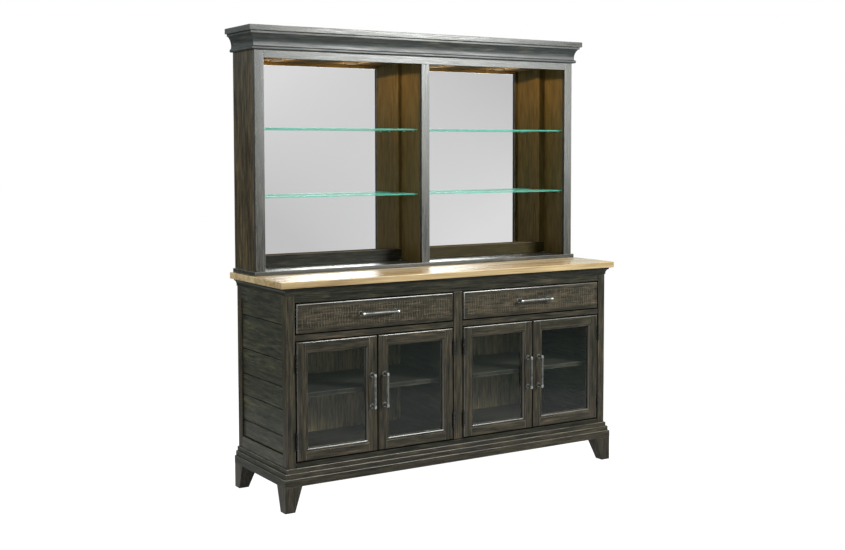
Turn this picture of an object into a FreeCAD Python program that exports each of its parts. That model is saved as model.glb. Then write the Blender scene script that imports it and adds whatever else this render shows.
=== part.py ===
import FreeCAD, Part
import math
import os
import Sketcher

# A buffet cabinet: a two-bay base with drawers over glass doors, and a shallow hutch with
# mirrors, glass shelves and lights. Millimetres, +X to the right, -Y to the front, +Z up.
# The origin is on the floor, midway between the back and the front of the pulls.

doc = FreeCAD.newDocument("BuffetCabinet")

# Driving dimensions: a name, a size in millimetres and what it is.
SIZES = [
    ("counter_height", 914, "floor to the top of the countertop"),
    ("counter_width", 1676, "countertop, side to side"),
    ("counter_depth", 500, "countertop, back to front"),
    ("counter_thickness", 27, "countertop board"),
    ("counter_easing", 4, "rounding of the countertop's edges"),
    ("counter_side_overhang", 32, "countertop past the case at each side"),
    ("counter_front_overhang", 29, "countertop past the case at the front"),
    ("bed_height", 31, "moulding under the countertop, height"),
    ("bed_reach", 14, "moulding under the countertop, reach at its top"),
    ("bed_toe", 3, "moulding under the countertop, reach at its foot"),
    ("bed_band", 8, "flat band at the top of that moulding"),
    ("bed_step", 2, "that band past the hollow below it"),
    ("bed_cove_radius", 22, "hollow below that band"),
    ("post_width", 40, "square corner posts"),
    ("side_rail_thickness", 20, "rails between the side posts"),
    ("side_rail_reveal", 48, "rail that shows above the base and below the bed moulding"),
    ("plank_recess", 8, "side planks behind the face of the posts"),
    ("plank_groove", 3, "chamfer along each plank's edges"),
    ("face_thickness", 22, "rails and stile of the front frame"),
    ("top_rail_height", 62, "front rail above the drawers"),
    ("drawer_opening_height", 124, "opening for a drawer"),
    ("middle_rail_height", 27, "front rail between drawer and doors"),
    ("bottom_rail_height", 91, "front rail below the doors"),
    ("centre_stile_width", 48, "stile between the two bays"),
    ("back_rail_thickness", 20, "rail along the bottom of the back"),
    ("partition_thickness", 20, "upright board between the bays"),
    ("floor_thickness", 18, "cupboard floor"),
    ("deck_thickness", 12, "board under the drawers"),
    ("back_thickness", 8, "back panel of the base"),
    ("cupboard_shelf_thickness", 18, "wooden shelf"),
    ("cupboard_shelf_setback", 46, "wooden shelf behind the front of the case"),
    ("shelf_clearance", 2, "gap at the ends and back of a shelf"),
    ("base_lower_height", 32, "base moulding, lowest step"),
    ("base_middle_height", 20, "base moulding, middle step"),
    ("base_upper_height", 18, "base moulding, top step"),
    ("base_lower_reach", 19, "base moulding, reach of the lowest step"),
    ("base_middle_reach", 13, "base moulding, reach of the middle step"),
    ("base_upper_reach", 6, "base moulding, reach of the top step"),
    ("base_easing", 3, "rounding of the steps' upper edges"),
    ("foot_height", 102, "feet"),
    ("foot_top_width", 76, "foot, square at its top"),
    ("foot_toe_width", 44, "foot, square at the floor"),
    ("drawer_gap", 2, "gap above and below a drawer front"),
    ("drawer_side_gap", 3, "gap beside a drawer front"),
    ("front_proud", 3, "doors and drawer fronts before the frame"),
    ("front_thickness", 22, "doors and drawer fronts"),
    ("front_easing", 2, "chamfer round doors and drawer fronts"),
    ("drawer_board", 12, "sides, front and back of a drawer box"),
    ("drawer_bottom_thickness", 6, "bottom panel of a drawer box"),
    ("drawer_bottom_lift", 6, "bottom panel above the lower edge of the box"),
    ("drawer_box_height", 100, "drawer box"),
    ("drawer_back_gap", 44, "drawer box before the back panel"),
    ("drawer_box_lift", 5, "drawer box above the bottom of its opening"),
    ("runner_space", 12.7, "space for a runner at each side of a drawer box"),
    ("runner_rise", 34, "middle of a runner above the lower edge of the drawer box"),
    ("runner_height", 35, "runner channel"),
    ("runner_sheet", 1.5, "runner channel's sheet"),
    ("runner_channel_depth", 10, "runner channel, out from its block"),
    ("runner_lip", 6, "turned lip of the channel"),
    ("runner_clearance", 0.5, "slider inside its channel"),
    ("runner_setback", 4, "runner behind the front frame"),
    ("runner_back_gap", 37, "runner before the back panel"),
    ("runner_block_height", 60, "wooden block behind a runner"),
    ("door_gap", 2, "gap above and below a door"),
    ("door_side_gap", 3, "gap at a door's hinges and between a pair"),
    ("door_stile_width", 52, "upright of a door, to the sight edge"),
    ("door_rail_width", 50, "rail of a door, to the sight edge"),
    ("door_bevel_width", 13, "bevel round the glass, across"),
    ("door_step", 2, "step down from a door's face to that bevel"),
    ("door_bevel_depth", 7, "bevel round the glass, in"),
    ("door_lip", 3, "wood before the glass"),
    ("door_rebate", 6, "rebate for the glass, past the sight edge"),
    ("door_glass_thickness", 4, "door glass"),
    ("glass_clearance", 0.5, "glass in its rebate"),
    ("hinge_height", 64, "hinge"),
    ("hinge_inset", 84, "middle of a hinge from the door's end"),
    ("hinge_leaf_thickness", 1.2, "hinge leaf"),
    ("knuckle_radius", 4, "hinge knuckle"),
    ("knuckle_clearance", 0.3, "knuckle before the door's face"),
    ("knuckle_gap", 0.4, "gap between knuckles"),
    ("hinge_pin_radius", 2, "hinge pin"),
    ("hinge_pin_clearance", 0.05, "pin in its knuckle"),
    ("hinge_head_radius", 3.2, "head of a hinge pin"),
    ("hinge_head_height", 1.5, "head of a hinge pin"),
    ("pull_reach", 29.5, "face to the middle of a pull's bar"),
    ("pull_bar_radius", 4.5, "bar of a pull"),
    ("pull_tip_radius", 5.5, "rounded tip of the bar"),
    ("pull_collar_radius", 6.5, "collar on the bar at each post"),
    ("pull_collar_length", 13, "that collar"),
    ("pull_post_radius", 4, "post of a pull at the bar"),
    ("pull_post_foot_radius", 6.5, "post of a pull at its plate"),
    ("pull_plate_radius", 9.5, "round plate under a post"),
    ("pull_plate_thickness", 3, "round plate under a post"),
    ("pull_overhang", 12, "bar past the middle of a post"),
    ("drawer_pull_span", 160, "post to post on a drawer"),
    ("drawer_pull_rise", 4, "drawer pull above the middle of its front"),
    ("door_pull_span", 128, "post to post on a door"),
    ("door_pull_inset", 28, "door pull from the meeting edge"),
    ("door_pull_rise", 13.5, "door pull above the middle of its door"),
    ("catch_width", 40, "magnetic catch"),
    ("catch_height", 12, "magnetic catch"),
    ("catch_depth", 14, "magnetic catch"),
    ("catch_inset", 30, "middle of a catch from the middle of a pair"),
    ("catch_gap", 0.5, "magnetic catch behind its door"),
    ("pin_radius", 2.5, "shelf pin"),
    ("pin_reach", 11, "shelf pin under its shelf"),
    ("pin_depth", 8, "shelf pin in its hole"),
    ("pin_clearance", 0.1, "shelf pin in its hole, all round"),
    ("pin_inset", 28, "shelf pins from the shelf's front and back"),
    ("total_height", 1928, "floor to the top of the crown"),
    ("hutch_inset", 24, "hutch behind the countertop's edge at each side"),
    ("hutch_depth", 215, "hutch, back to the front of its frame"),
    ("hutch_base_thickness", 17, "board that the hutch stands on"),
    ("hutch_base_reach", 10, "that board past the sides and the front"),
    ("hutch_side_thickness", 26, "hutch side"),
    ("hutch_partition_thickness", 40, "board between the hutch's bays"),
    ("hutch_stile_width", 42, "outer stile of the hutch"),
    ("hutch_face_thickness", 20, "stiles and rail of the hutch"),
    ("hutch_rail_reveal", 32, "hutch rail that shows below the crown"),
    ("hutch_ceiling_rise", 13, "hutch ceiling above the rail's lower edge"),
    ("hutch_top_thickness", 18, "hutch ceiling board"),
    ("hutch_back_thickness", 4, "hutch back panel"),
    ("mirror_thickness", 4, "mirror"),
    ("mirror_clearance", 1, "mirror at each edge"),
    ("mirror_strip_depth", 34, "strips before the mirror, back to front"),
    ("mirror_outer_strip", 34, "strip beside a hutch side"),
    ("mirror_inner_strip", 17, "strip beside the partition"),
    ("mirror_rail_height", 49, "rail below a mirror"),
    ("glass_shelf_thickness", 6, "glass shelf"),
    ("glass_shelf_depth", 139, "glass shelf, back to front"),
    ("crown_height", 97, "crown, bead to top"),
    ("cap_thickness", 23, "crown cap"),
    ("cap_reach", 35, "crown cap past the hutch"),
    ("cap_easing", 2, "rounding of the cap's edges"),
    ("crown_flat_height", 10, "flat under the cap"),
    ("crown_flat_reach", 26, "flat under the cap"),
    ("cove_top_reach", 21, "hollow of the crown at its top"),
    ("cove_foot_reach", 8, "hollow of the crown at its foot"),
    ("cove_radius", 62, "hollow of the crown"),
    ("bead_height", 14, "bead at the foot of the crown"),
    ("bead_reach", 14, "bead at the foot of the crown"),
    ("bead_easing", 5, "rounding of the bead"),
    ("light_radius", 30, "light housing"),
    ("light_height", 7, "light housing"),
    ("lens_radius", 23, "light lens"),
    ("lens_height", 2, "light lens below its housing"),
    ("light_inset", 201, "lights from the sides of a bay"),
    ("light_setback", 72, "lights from the back"),
    ("screw_radius", 2.4, "screws that hold the hutch down"),
    ("screw_length", 36, "those screws, below the head"),
    ("screw_head_radius", 5, "their heads"),
    ("screw_head_height", 3, "their heads"),
    ("screw_clearance", 0.1, "screw in its hole, all round"),
    ("screw_inset", 18, "screws from the strips and the sides of a bay"),
    ("overrun", 5, "how far a cutting shape runs past what it cuts"),
]

# Heights of the joints between the side planks, as shares of the planked height.
PLANK_JOINT_SHARES = (0.122, 0.303, 0.457, 0.636, 0.878)
# Height of the wooden shelf's top, as a share of the cupboard.
CUPBOARD_SHELF_SHARE = 0.545
# Heights of the glass shelves' undersides, as shares of the hutch's inside.
GLASS_SHELF_SHARES = (0.337, 0.659)

sheet = doc.addObject("Spreadsheet::Sheet", "Sizes")
for row, (alias, value, meaning) in enumerate(SIZES, start=1):
    sheet.set("A%d" % row, meaning)
    sheet.set("B%d" % row, str(value))
    sheet.setAlias("B%d" % row, alias)
doc.recompute()


class Size:
    """A length from the sheet or worked out from it: its formula, and its value now."""

    def __init__(self, formula, value):
        self.formula = formula
        self.value = value

    def __add__(self, other):
        other = as_size(other)
        return Size("(%s + %s)" % (self.formula, other.formula), self.value + other.value)

    def __sub__(self, other):
        other = as_size(other)
        return Size("(%s - %s)" % (self.formula, other.formula), self.value - other.value)

    def __mul__(self, factor):
        return Size("(%s * %s)" % (self.formula, factor), self.value * factor)

    def __truediv__(self, factor):
        return Size("(%s / %s)" % (self.formula, factor), self.value / factor)

    def __neg__(self):
        return self * -1


def as_size(number):
    """A plain number, such as zero, in the form of a size."""
    return number if isinstance(number, Size) else Size(str(number), float(number))


def size(alias):
    """The size that the sheet holds under this name."""
    return Size("Sizes." + alias, float(sheet.get(alias)))


ZERO = as_size(0)
RIGHT = FreeCAD.Vector(1, 0, 0)
UP = FreeCAD.Vector(0, 0, 1)
ALONG_X = FreeCAD.Rotation(FreeCAD.Vector(0, 1, 0), 90)
ALONG_FRONT = FreeCAD.Rotation(FreeCAD.Vector(1, 0, 0), 90)
OVERRUN = size("overrun")


def bind(thing, prop, length):
    """Ties a property to the formula of a size."""
    thing.setExpression(prop, as_size(length).formula)


def put(thing, x, y, z):
    """Ties a thing's place to three sizes and keeps its turn."""
    bind(thing, "Placement.Base.x", x)
    bind(thing, "Placement.Base.y", y)
    bind(thing, "Placement.Base.z", z)


def span(start, end):
    """Two places along one axis, the lower first."""
    start, end = as_size(start), as_size(end)
    return (start, end) if start.value <= end.value else (end, start)


def grow(pair, amount):
    """A span that runs past both its ends, or stops short of them if the amount is negative."""
    return (pair[0] - amount, pair[1] + amount)


def middle(pair):
    """The middle of a span."""
    return (pair[0] + pair[1]) / 2


def box(name, x, y, z):
    """A square-edged board between two faces along each axis."""
    board = doc.addObject("Part::Box", name)
    for prop, pair in (("Length", x), ("Width", y), ("Height", z)):
        bind(board, prop, pair[1] - pair[0])
    put(board, x[0], y[0], z[0])
    return board


def wedge(name, x, z, y, front_growth, back_growth):
    """A block with a larger or smaller outline at its front face or its back face."""
    block = doc.addObject("Part::Wedge", name)
    front_x, back_x = grow(x, front_growth), grow(x, back_growth)
    front_z, back_z = grow(z, front_growth), grow(z, back_growth)
    for prop, place in (("Ymin", y[0]), ("Ymax", y[1]),
                        ("Xmin", front_x[0]), ("Xmax", front_x[1]),
                        ("Zmin", front_z[0]), ("Zmax", front_z[1]),
                        ("X2min", back_x[0]), ("X2max", back_x[1]),
                        ("Z2min", back_z[0]), ("Z2max", back_z[1])):
        bind(block, prop, place)
    return block


def rod(name, radius, length, x, y, z, turn=None):
    """A cylinder that starts at a point and runs up, or the way that turn gives."""
    cylinder = doc.addObject("Part::Cylinder", name)
    bind(cylinder, "Radius", radius)
    bind(cylinder, "Height", length)
    if turn is not None:
        cylinder.Placement = FreeCAD.Placement(FreeCAD.Vector(), turn)
    put(cylinder, x, y, z)
    return cylinder


def fuse(name, pieces):
    """Several overlapping shapes made into one solid."""
    joined = doc.addObject("Part::MultiFuse", name)
    joined.Shapes = pieces
    joined.Refine = True
    return joined


def cut(name, base, tools):
    """A solid with other shapes taken out of it."""
    carved = doc.addObject("Part::Cut", name)
    carved.Base = base
    carved.Tool = tools[0] if len(tools) == 1 else group(name + "Tools", tools)
    return carved


def common(name, first, second):
    """What two shapes share."""
    shared = doc.addObject("Part::Common", name)
    shared.Base = first
    shared.Tool = second
    return shared


def group(name, pieces):
    """Separate solids of one kind, kept together."""
    together = doc.addObject("Part::Compound", name)
    together.Links = pieces
    return together


def mirrored(name, piece):
    """The same piece on the other side of the cabinet's middle plane."""
    twin = doc.addObject("Part::Mirroring", name)
    twin.Source = piece
    twin.Normal = RIGHT
    return twin


# Outlines: each corner is a place along the sketch's two axes and the way it is reached.
def line(u, v):
    """A corner reached by a straight side."""
    return (as_size(u), as_size(v), None, 0)


def hollow(u, v, radius):
    """A corner reached by an arc that dips into the material."""
    return (as_size(u), as_size(v), radius, 1)


def rounded(u, v, radius):
    """A corner reached by an arc that swells out of the material."""
    return (as_size(u), as_size(v), radius, -1)


def area_sign(outline):
    """Whether an outline runs anticlockwise, 1, or clockwise, -1."""
    total = 0
    for corner, after in zip(outline, outline[1:] + outline[:1]):
        total += corner[0].value * after[1].value - after[0].value * corner[1].value
    return 1 if total > 0 else -1


def arc_side(start, end, radius, side):
    """The arc between two corners with its centre to the right of the way, or left for side -1,
    and which of its ends is at the first corner and at the second."""
    first = FreeCAD.Vector(start[0].value, start[1].value, 0)
    last = FreeCAD.Vector(end[0].value, end[1].value, 0)
    chord = last - first
    rise = math.sqrt(max(radius.value ** 2 - (chord.Length / 2) ** 2, 0))
    centre = (first + last) / 2 + FreeCAD.Vector(chord.y, -chord.x, 0).normalize() * rise * side
    angles = [math.atan2(point.y - centre.y, point.x - centre.x) for point in (first, last)]
    if side == 1:
        angles.reverse()
    arc = Part.ArcOfCircle(Part.Circle(centre, UP, radius.value), angles[0], angles[1])
    return arc, (2, 1) if side == 1 else (1, 2)


def draw(body, name, role, outline, offset):
    """A closed sketch on one of the body's own planes, with every corner tied to its sizes."""
    sketch = body.newObject("Sketcher::SketchObject", name)
    plane = [feature for feature in body.Origin.OriginFeatures if feature.Role == role][0]
    sketch.AttachmentSupport = (plane, [""])
    sketch.MapMode = "FlatFace"
    bind(sketch, "AttachmentOffset.Base.z", offset)
    followers = outline[1:] + outline[:1]
    turning = area_sign(outline)
    ends = []
    for corner, after in zip(outline, followers):
        if after[2] is None:
            here = FreeCAD.Vector(corner[0].value, corner[1].value, 0)
            there = FreeCAD.Vector(after[0].value, after[1].value, 0)
            sketch.addGeometry(Part.LineSegment(here, there))
            ends.append((1, 2))
        else:
            arc, order = arc_side(corner, after, after[2], turning * after[3])
            sketch.addGeometry(arc)
            ends.append(order)
    count = len(outline)
    for index in range(count):
        after = (index + 1) % count
        joint = Sketcher.Constraint("Coincident", index, ends[index][1], after, ends[after][0])
        sketch.addConstraint(joint)
    for index, corner in enumerate(outline):
        for place, kind, axis in ((corner[0], "DistanceX", -2), (corner[1], "DistanceY", -1)):
            if place.value == 0:
                on_axis = Sketcher.Constraint("PointOnObject", index, ends[index][0], axis)
                sketch.addConstraint(on_axis)
            else:
                distance = Sketcher.Constraint(kind, -1, 1, index, ends[index][0], place.value)
                number = sketch.addConstraint(distance)
                sketch.setExpression("Constraints[%d]" % number, place.formula)
        radius = followers[index][2]
        if radius is not None:
            number = sketch.addConstraint(Sketcher.Constraint("Radius", index, radius.value))
            sketch.setExpression("Constraints[%d]" % number, radius.formula)
    return sketch


def prism(name, role, outline, ends):
    """A body with one pad: an outline on a plane, run between two places along its axis."""
    body = doc.addObject("PartDesign::Body", name)
    start = -ends[1] if role == "XZ_Plane" else ends[0]
    pad = body.newObject("PartDesign::Pad", name + "Pad")
    pad.Profile = draw(body, name + "Outline", role, outline, start)
    bind(pad, "Length", ends[1] - ends[0])
    body.Tip = pad
    return body


def mitre(body, name, outline, height):
    """Takes a plan outline out of a body, from the floor up to a height."""
    pocket = body.newObject("PartDesign::Pocket", name)
    pocket.Profile = draw(body, name + "Outline", "XY_Plane", outline, ZERO)
    pocket.Reversed = True
    bind(pocket, "Length", height)
    body.Tip = pocket


def ease(body, name, radius, chosen):
    """Rounds the edges of a body whose middle passes a test."""
    doc.recompute()
    base = body.Tip
    names = []
    for number, edge in enumerate(base.Shape.Edges, start=1):
        centre = edge.valueAt((edge.FirstParameter + edge.LastParameter) / 2)
        if chosen(centre):
            names.append("Edge%d" % number)
    fillet = body.newObject("PartDesign::Fillet", name)
    fillet.Base = (base, names)
    bind(fillet, "Radius", radius)
    body.Tip = fillet


nodes = []


def node(name, thing):
    """Keeps a thing as a sub-part under its own label."""
    thing.Label = name
    nodes.append(thing)
    return thing


def pair_node(name, pieces):
    """Pieces of the right-hand side and their twins on the left, as one sub-part."""
    right = group(name + "_right_hand", pieces)
    left = mirrored(name + "_left_hand", right)
    return node(name, group(name + "_both_hands", [right, left]))


# Main lines of the cabinet. Depths are counted from the back towards the front.
case_depth = size("counter_depth") - size("counter_front_overhang")
door_face_depth = case_depth + size("front_proud")
whole_depth = door_face_depth + size("pull_reach") + size("pull_collar_radius")
back = whole_depth / 2


def at(depth):
    """The place along Y of a depth."""
    return back - depth


def deep(nearer_back, nearer_front):
    """The span along Y between two depths."""
    return (at(nearer_front), at(nearer_back))


half_counter = size("counter_width") / 2
half_case = half_counter - size("counter_side_overhang")
post_inside = half_case - size("post_width")
rail_inside = half_case - size("side_rail_thickness")
counter_bottom = size("counter_height") - size("counter_thickness")
bed_bottom = counter_bottom - size("bed_height")
foot_top = size("foot_height")
base_top = foot_top + size("base_lower_height") + size("base_middle_height") + size("base_upper_height")
frame_back = case_depth - size("face_thickness")
half_stile = size("centre_stile_width") / 2
half_partition = size("partition_thickness") / 2
drawer_opening = (counter_bottom - size("top_rail_height") - size("drawer_opening_height"),
                  counter_bottom - size("top_rail_height"))
door_opening = (foot_top + size("bottom_rail_height"),
                drawer_opening[0] - size("middle_rail_height"))
bay = (half_stile, post_inside)
post_gap = deep(size("post_width"), case_depth - size("post_width"))
carcass = deep(size("back_thickness"), frame_back)
face_frame = deep(frame_back, case_depth)

hutch_floor = size("counter_height") + size("hutch_base_thickness")
crown_bottom = size("total_height") - size("crown_height")
cap_bottom = size("total_height") - size("cap_thickness")
hutch_rail_bottom = crown_bottom - size("hutch_rail_reveal")
hutch_ceiling = hutch_rail_bottom + size("hutch_ceiling_rise")
half_hutch = half_counter - size("hutch_inset")
hutch_side_inside = half_hutch - size("hutch_side_thickness")
half_hutch_partition = size("hutch_partition_thickness") / 2
hutch_bay = (half_hutch_partition, hutch_side_inside)
hutch_side_depth = size("hutch_depth") - size("hutch_face_thickness")
mirror_face = size("hutch_back_thickness") + size("mirror_thickness")
strip_face = mirror_face + size("mirror_strip_depth")


# Mouldings that run round three sides.
def moulding(name, outline, half_width, depth, reach, top):
    """Three mitred lengths round the front and sides, from an outline of reach and height."""
    face = at(depth)
    beyond = reach + OVERRUN
    side_outline = [(half_width + corner[0],) + corner[1:] for corner in outline]
    side = prism(name + "_side", "XZ_Plane", side_outline, (face - reach, back))
    mitre(side, name + "_side_mitre",
          [line(half_width, face), line(half_width, face - beyond),
           line(half_width + beyond, face - beyond)], top)
    front_outline = [(face - corner[0],) + corner[1:] for corner in outline]
    front = prism(name + "_front", "YZ_Plane", front_outline,
                  (-half_width - reach, half_width + reach))
    for hand, corner, far in (("right", half_width, half_width + beyond),
                              ("left", -half_width, -half_width - beyond)):
        mitre(front, "%s_front_mitre_%s" % (name, hand),
              [line(corner, face), line(far, face), line(far, face - beyond)], top)
    return [front, side, mirrored(name + "_other_side", side)]


def bed_outline():
    """A cove under a flat band."""
    cove_reach = size("bed_reach") - size("bed_step")
    cove_top = counter_bottom - size("bed_band")
    return [line(ZERO, bed_bottom), line(size("bed_toe"), bed_bottom),
            hollow(cove_reach, cove_top, size("bed_cove_radius")),
            line(size("bed_reach"), cove_top), line(size("bed_reach"), counter_bottom),
            line(ZERO, counter_bottom)]


def base_outline():
    """Three steps with rounded upper edges."""
    easing = size("base_easing")
    corners = [line(ZERO, foot_top), line(size("base_lower_reach"), foot_top)]
    top = foot_top
    for step in ("lower", "middle", "upper"):
        top = top + size("base_%s_height" % step)
        reach = size("base_%s_reach" % step)
        if step != "lower":
            corners.append(line(reach, top - size("base_%s_height" % step)))
        corners.append(line(reach, top - easing))
        corners.append(rounded(reach - easing, top, easing))
    return corners + [line(ZERO, top)]


def crown_outline():
    """A bead, a cove and a flat."""
    bead_top = crown_bottom + size("bead_height")
    easing = size("bead_easing")
    cove_top = cap_bottom - size("crown_flat_height")
    return [line(ZERO, crown_bottom), line(size("bead_reach") - easing, crown_bottom),
            rounded(size("bead_reach"), crown_bottom + easing, easing),
            line(size("bead_reach"), bead_top - easing),
            rounded(size("bead_reach") - easing, bead_top, easing),
            line(size("cove_foot_reach"), bead_top),
            hollow(size("cove_top_reach"), cove_top, size("cove_radius")),
            line(size("crown_flat_reach"), cove_top), line(size("crown_flat_reach"), cap_bottom),
            line(ZERO, cap_bottom)]


bed = moulding("bed", bed_outline(), half_case, case_depth, size("bed_reach"),
               size("counter_height"))
node("bed_moulding", group("bed_lengths", bed))
base = moulding("base", base_outline(), half_case, case_depth, size("base_lower_reach"),
                base_top + OVERRUN)
base.append(box("base_back_rail", (-post_inside, post_inside),
                deep(ZERO, size("back_rail_thickness")), (foot_top, base_top)))
node("base_moulding", group("base_lengths", base))
crown = moulding("crown", crown_outline(), half_hutch, size("hutch_depth"),
                 size("crown_flat_reach"), size("total_height"))
node("crown_moulding", group("crown_lengths", crown))


# Boards with rounded edges at the front and sides.
def eased_board(name, half_width, depth, z, radius):
    """A flat board whose edges are all rounded but those along the back."""
    corners = [line(-half_width, at(depth)), line(half_width, at(depth)),
               line(half_width, back), line(-half_width, back)]
    board = prism(name, "XY_Plane", corners, z)
    ease(board, name + "_easing", radius, lambda centre: centre.y < back.value - radius.value)
    return board


screw_holes = []
screws = []
screw_x = (half_hutch_partition + size("screw_inset"), hutch_side_inside - size("screw_inset"))
screw_y = at(strip_face + size("screw_inset"))
screw_bottom = hutch_floor - size("screw_length")
for hand, x in (("inner", screw_x[0]), ("outer", screw_x[1])):
    head = rod("screw_head_" + hand, size("screw_head_radius"), size("screw_head_height"),
               x, screw_y, hutch_floor)
    shank = rod("screw_shank_" + hand, size("screw_radius"), size("screw_length"),
                x, screw_y, screw_bottom)
    screws.append(fuse("screw_" + hand, [head, shank]))
    screw_holes.append(rod("screw_hole_" + hand, size("screw_radius") + size("screw_clearance"),
                           size("screw_length") + OVERRUN, x, screw_y, screw_bottom))
all_screw_holes = group("screw_holes_right", screw_holes)
all_screw_holes = group("screw_holes", [all_screw_holes, mirrored("screw_holes_left", all_screw_holes)])
pair_node("hutch_screws", screws)

counter_board = eased_board("counter_board", half_counter, size("counter_depth"),
                            (counter_bottom, size("counter_height")), size("counter_easing"))
node("countertop", cut("counter_drilled", counter_board, [all_screw_holes]))
node("crown_cap", eased_board("cap_board", half_hutch + size("cap_reach"),
                              size("hutch_depth") + size("cap_reach"),
                              (cap_bottom, size("total_height")), size("cap_easing")))

# Base case: posts, rails, planks and boards.
post_x = (post_inside, half_case)
posts = []
for end, nearer_back in (("rear", ZERO), ("front", case_depth - size("post_width"))):
    posts.append(box("post_" + end, post_x, deep(nearer_back, nearer_back + size("post_width")),
                     (foot_top, counter_bottom)))
pair_node("corner_posts", posts)

planked = (base_top + size("side_rail_reveal"), bed_bottom - size("side_rail_reveal"))
side_rail_x = (rail_inside, half_case)
pair_node("side_rails", [
    box("side_rail_lower", side_rail_x, post_gap, (foot_top, planked[0])),
    box("side_rail_upper", side_rail_x, post_gap, (planked[1], counter_bottom))])


def wall_pins(name, face, outward, places, z_under):
    """Shelf pins in a wall, and their holes. Outward is 1 where the wall is on the right."""
    pins = []
    holes = []
    for end, y in places:
        z = z_under - size("pin_radius")
        reach = span(face - size("pin_reach") * outward, face + size("pin_depth") * outward)
        bore = span(face - OVERRUN * outward, face + size("pin_depth") * outward)
        pins.append(rod("%s_pin_%s" % (name, end), size("pin_radius"), reach[1] - reach[0],
                        reach[0], y, z, ALONG_X))
        holes.append(rod("%s_hole_%s" % (name, end), size("pin_radius") + size("pin_clearance"),
                         bore[1] - bore[0], bore[0], y, z, ALONG_X))
    return pins, holes


def pin_places(y):
    """Where the pins of a shelf stand along its depth."""
    return (("front", y[0] + size("pin_inset")), ("rear", y[1] - size("pin_inset")))


pins = []
shelf_y = deep(size("post_width") + size("shelf_clearance"),
               case_depth - size("cupboard_shelf_setback"))
door_opening_height = door_opening[1] - door_opening[0]
shelf_top = door_opening[0] + door_opening_height * CUPBOARD_SHELF_SHARE
shelf_bottom = shelf_top - size("cupboard_shelf_thickness")
shelf_x = (half_partition + size("shelf_clearance"), rail_inside - size("shelf_clearance"))
pair_node("cupboard_shelves", [box("cupboard_shelf", shelf_x, shelf_y, (shelf_bottom, shelf_top))])
outer_pins, plank_holes = wall_pins("plank", rail_inside, 1, pin_places(shelf_y), shelf_bottom)
inner_pins, partition_holes = wall_pins("partition", half_partition, -1, pin_places(shelf_y),
                                        shelf_bottom)
pins += outer_pins + inner_pins

plank_face = half_case - size("plank_recess")
groove = size("plank_groove")
joints = [planked[0]]
for share in PLANK_JOINT_SHARES:
    joints.append(planked[0] + (planked[1] - planked[0]) * share)
joints.append(planked[1])
hole_top = shelf_bottom + size("pin_clearance")
hole_bottom = shelf_bottom - size("pin_radius") * 2 - size("pin_clearance")
planks = []
for number, (low, high) in enumerate(zip(joints[:-1], joints[1:]), start=1):
    plank = prism("plank_%d" % number, "XZ_Plane",
                  [line(rail_inside, low), line(plank_face - groove, low),
                   line(plank_face, low + groove), line(plank_face, high - groove),
                   line(plank_face - groove, high), line(rail_inside, high)], post_gap)
    if low.value < hole_top.value and high.value > hole_bottom.value:
        plank = cut("plank_%d_drilled" % number, plank, plank_holes)
    planks.append(plank)
pair_node("side_planks", planks)

partition_board = box("partition_board", (-half_partition, half_partition), carcass,
                      (door_opening[0], counter_bottom))
partition_bores = group("partition_bores_right", partition_holes)
partition_bores = [partition_bores, mirrored("partition_bores_left", partition_bores)]
node("centre_partition", cut("partition_drilled", partition_board, partition_bores))

node("face_rails", group("front_rails", [
    box("top_rail", (-post_inside, post_inside), face_frame, (drawer_opening[1], counter_bottom)),
    box("middle_rail_right", bay, face_frame, (door_opening[1], drawer_opening[0])),
    box("middle_rail_left", (-bay[1], -bay[0]), face_frame, (door_opening[1], drawer_opening[0])),
    box("bottom_rail", (-post_inside, post_inside), face_frame, (foot_top, door_opening[0]))]))
node("centre_stile", box("stile_board", (-half_stile, half_stile), face_frame,
                         (door_opening[0], drawer_opening[1])))

# Horizontal boards reach the side rails and are notched round the posts.
post_notches = [
    box("notch_front", (post_inside, rail_inside + OVERRUN),
        deep(case_depth - size("post_width"), case_depth), (base_top, counter_bottom)),
    box("notch_rear", (post_inside, rail_inside + OVERRUN),
        deep(ZERO, size("post_width")), (base_top, counter_bottom))]
right_notches = group("notches_right", post_notches)
left_notches = mirrored("notches_left", right_notches)
floor_board = box("floor_board", (-rail_inside, rail_inside), carcass,
                  (door_opening[0] - size("floor_thickness"), door_opening[0]))
node("case_bottom", cut("floor_notched", floor_board, [right_notches, left_notches]))
deck_board = box("deck_board", (half_partition, rail_inside), carcass,
                 (door_opening[1], door_opening[1] + size("deck_thickness")))
pair_node("drawer_deck", [cut("deck_notched", deck_board, [right_notches])])
node("case_back", box("back_panel", (-post_inside, post_inside),
                      deep(ZERO, size("back_thickness")), (base_top, counter_bottom)))


# Feet: square blocks with plumb outer faces and slanting inner faces.
def foot(name, outer_depth, inward):
    """A foot at the right-hand side. Inward is 1 where it grows towards the front."""
    block = doc.addObject("Part::Wedge", name)
    outer_x = half_case + size("base_lower_reach")
    for prefix, width in (("", size("foot_toe_width")), ("2", size("foot_top_width"))):
        bind(block, "X%smin" % prefix, outer_x - width)
        bind(block, "X%smax" % prefix, outer_x)
        across = span(-at(outer_depth), -at(outer_depth + width * inward))
        bind(block, "Z%smin" % prefix, across[0])
        bind(block, "Z%smax" % prefix, across[1])
    bind(block, "Ymin", ZERO)
    bind(block, "Ymax", foot_top)
    block.Placement = FreeCAD.Placement(FreeCAD.Vector(), ALONG_FRONT)
    return block


pair_node("feet", [foot("foot_front", case_depth + size("base_lower_reach"), -1),
                   foot("foot_rear", ZERO, 1)])

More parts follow.
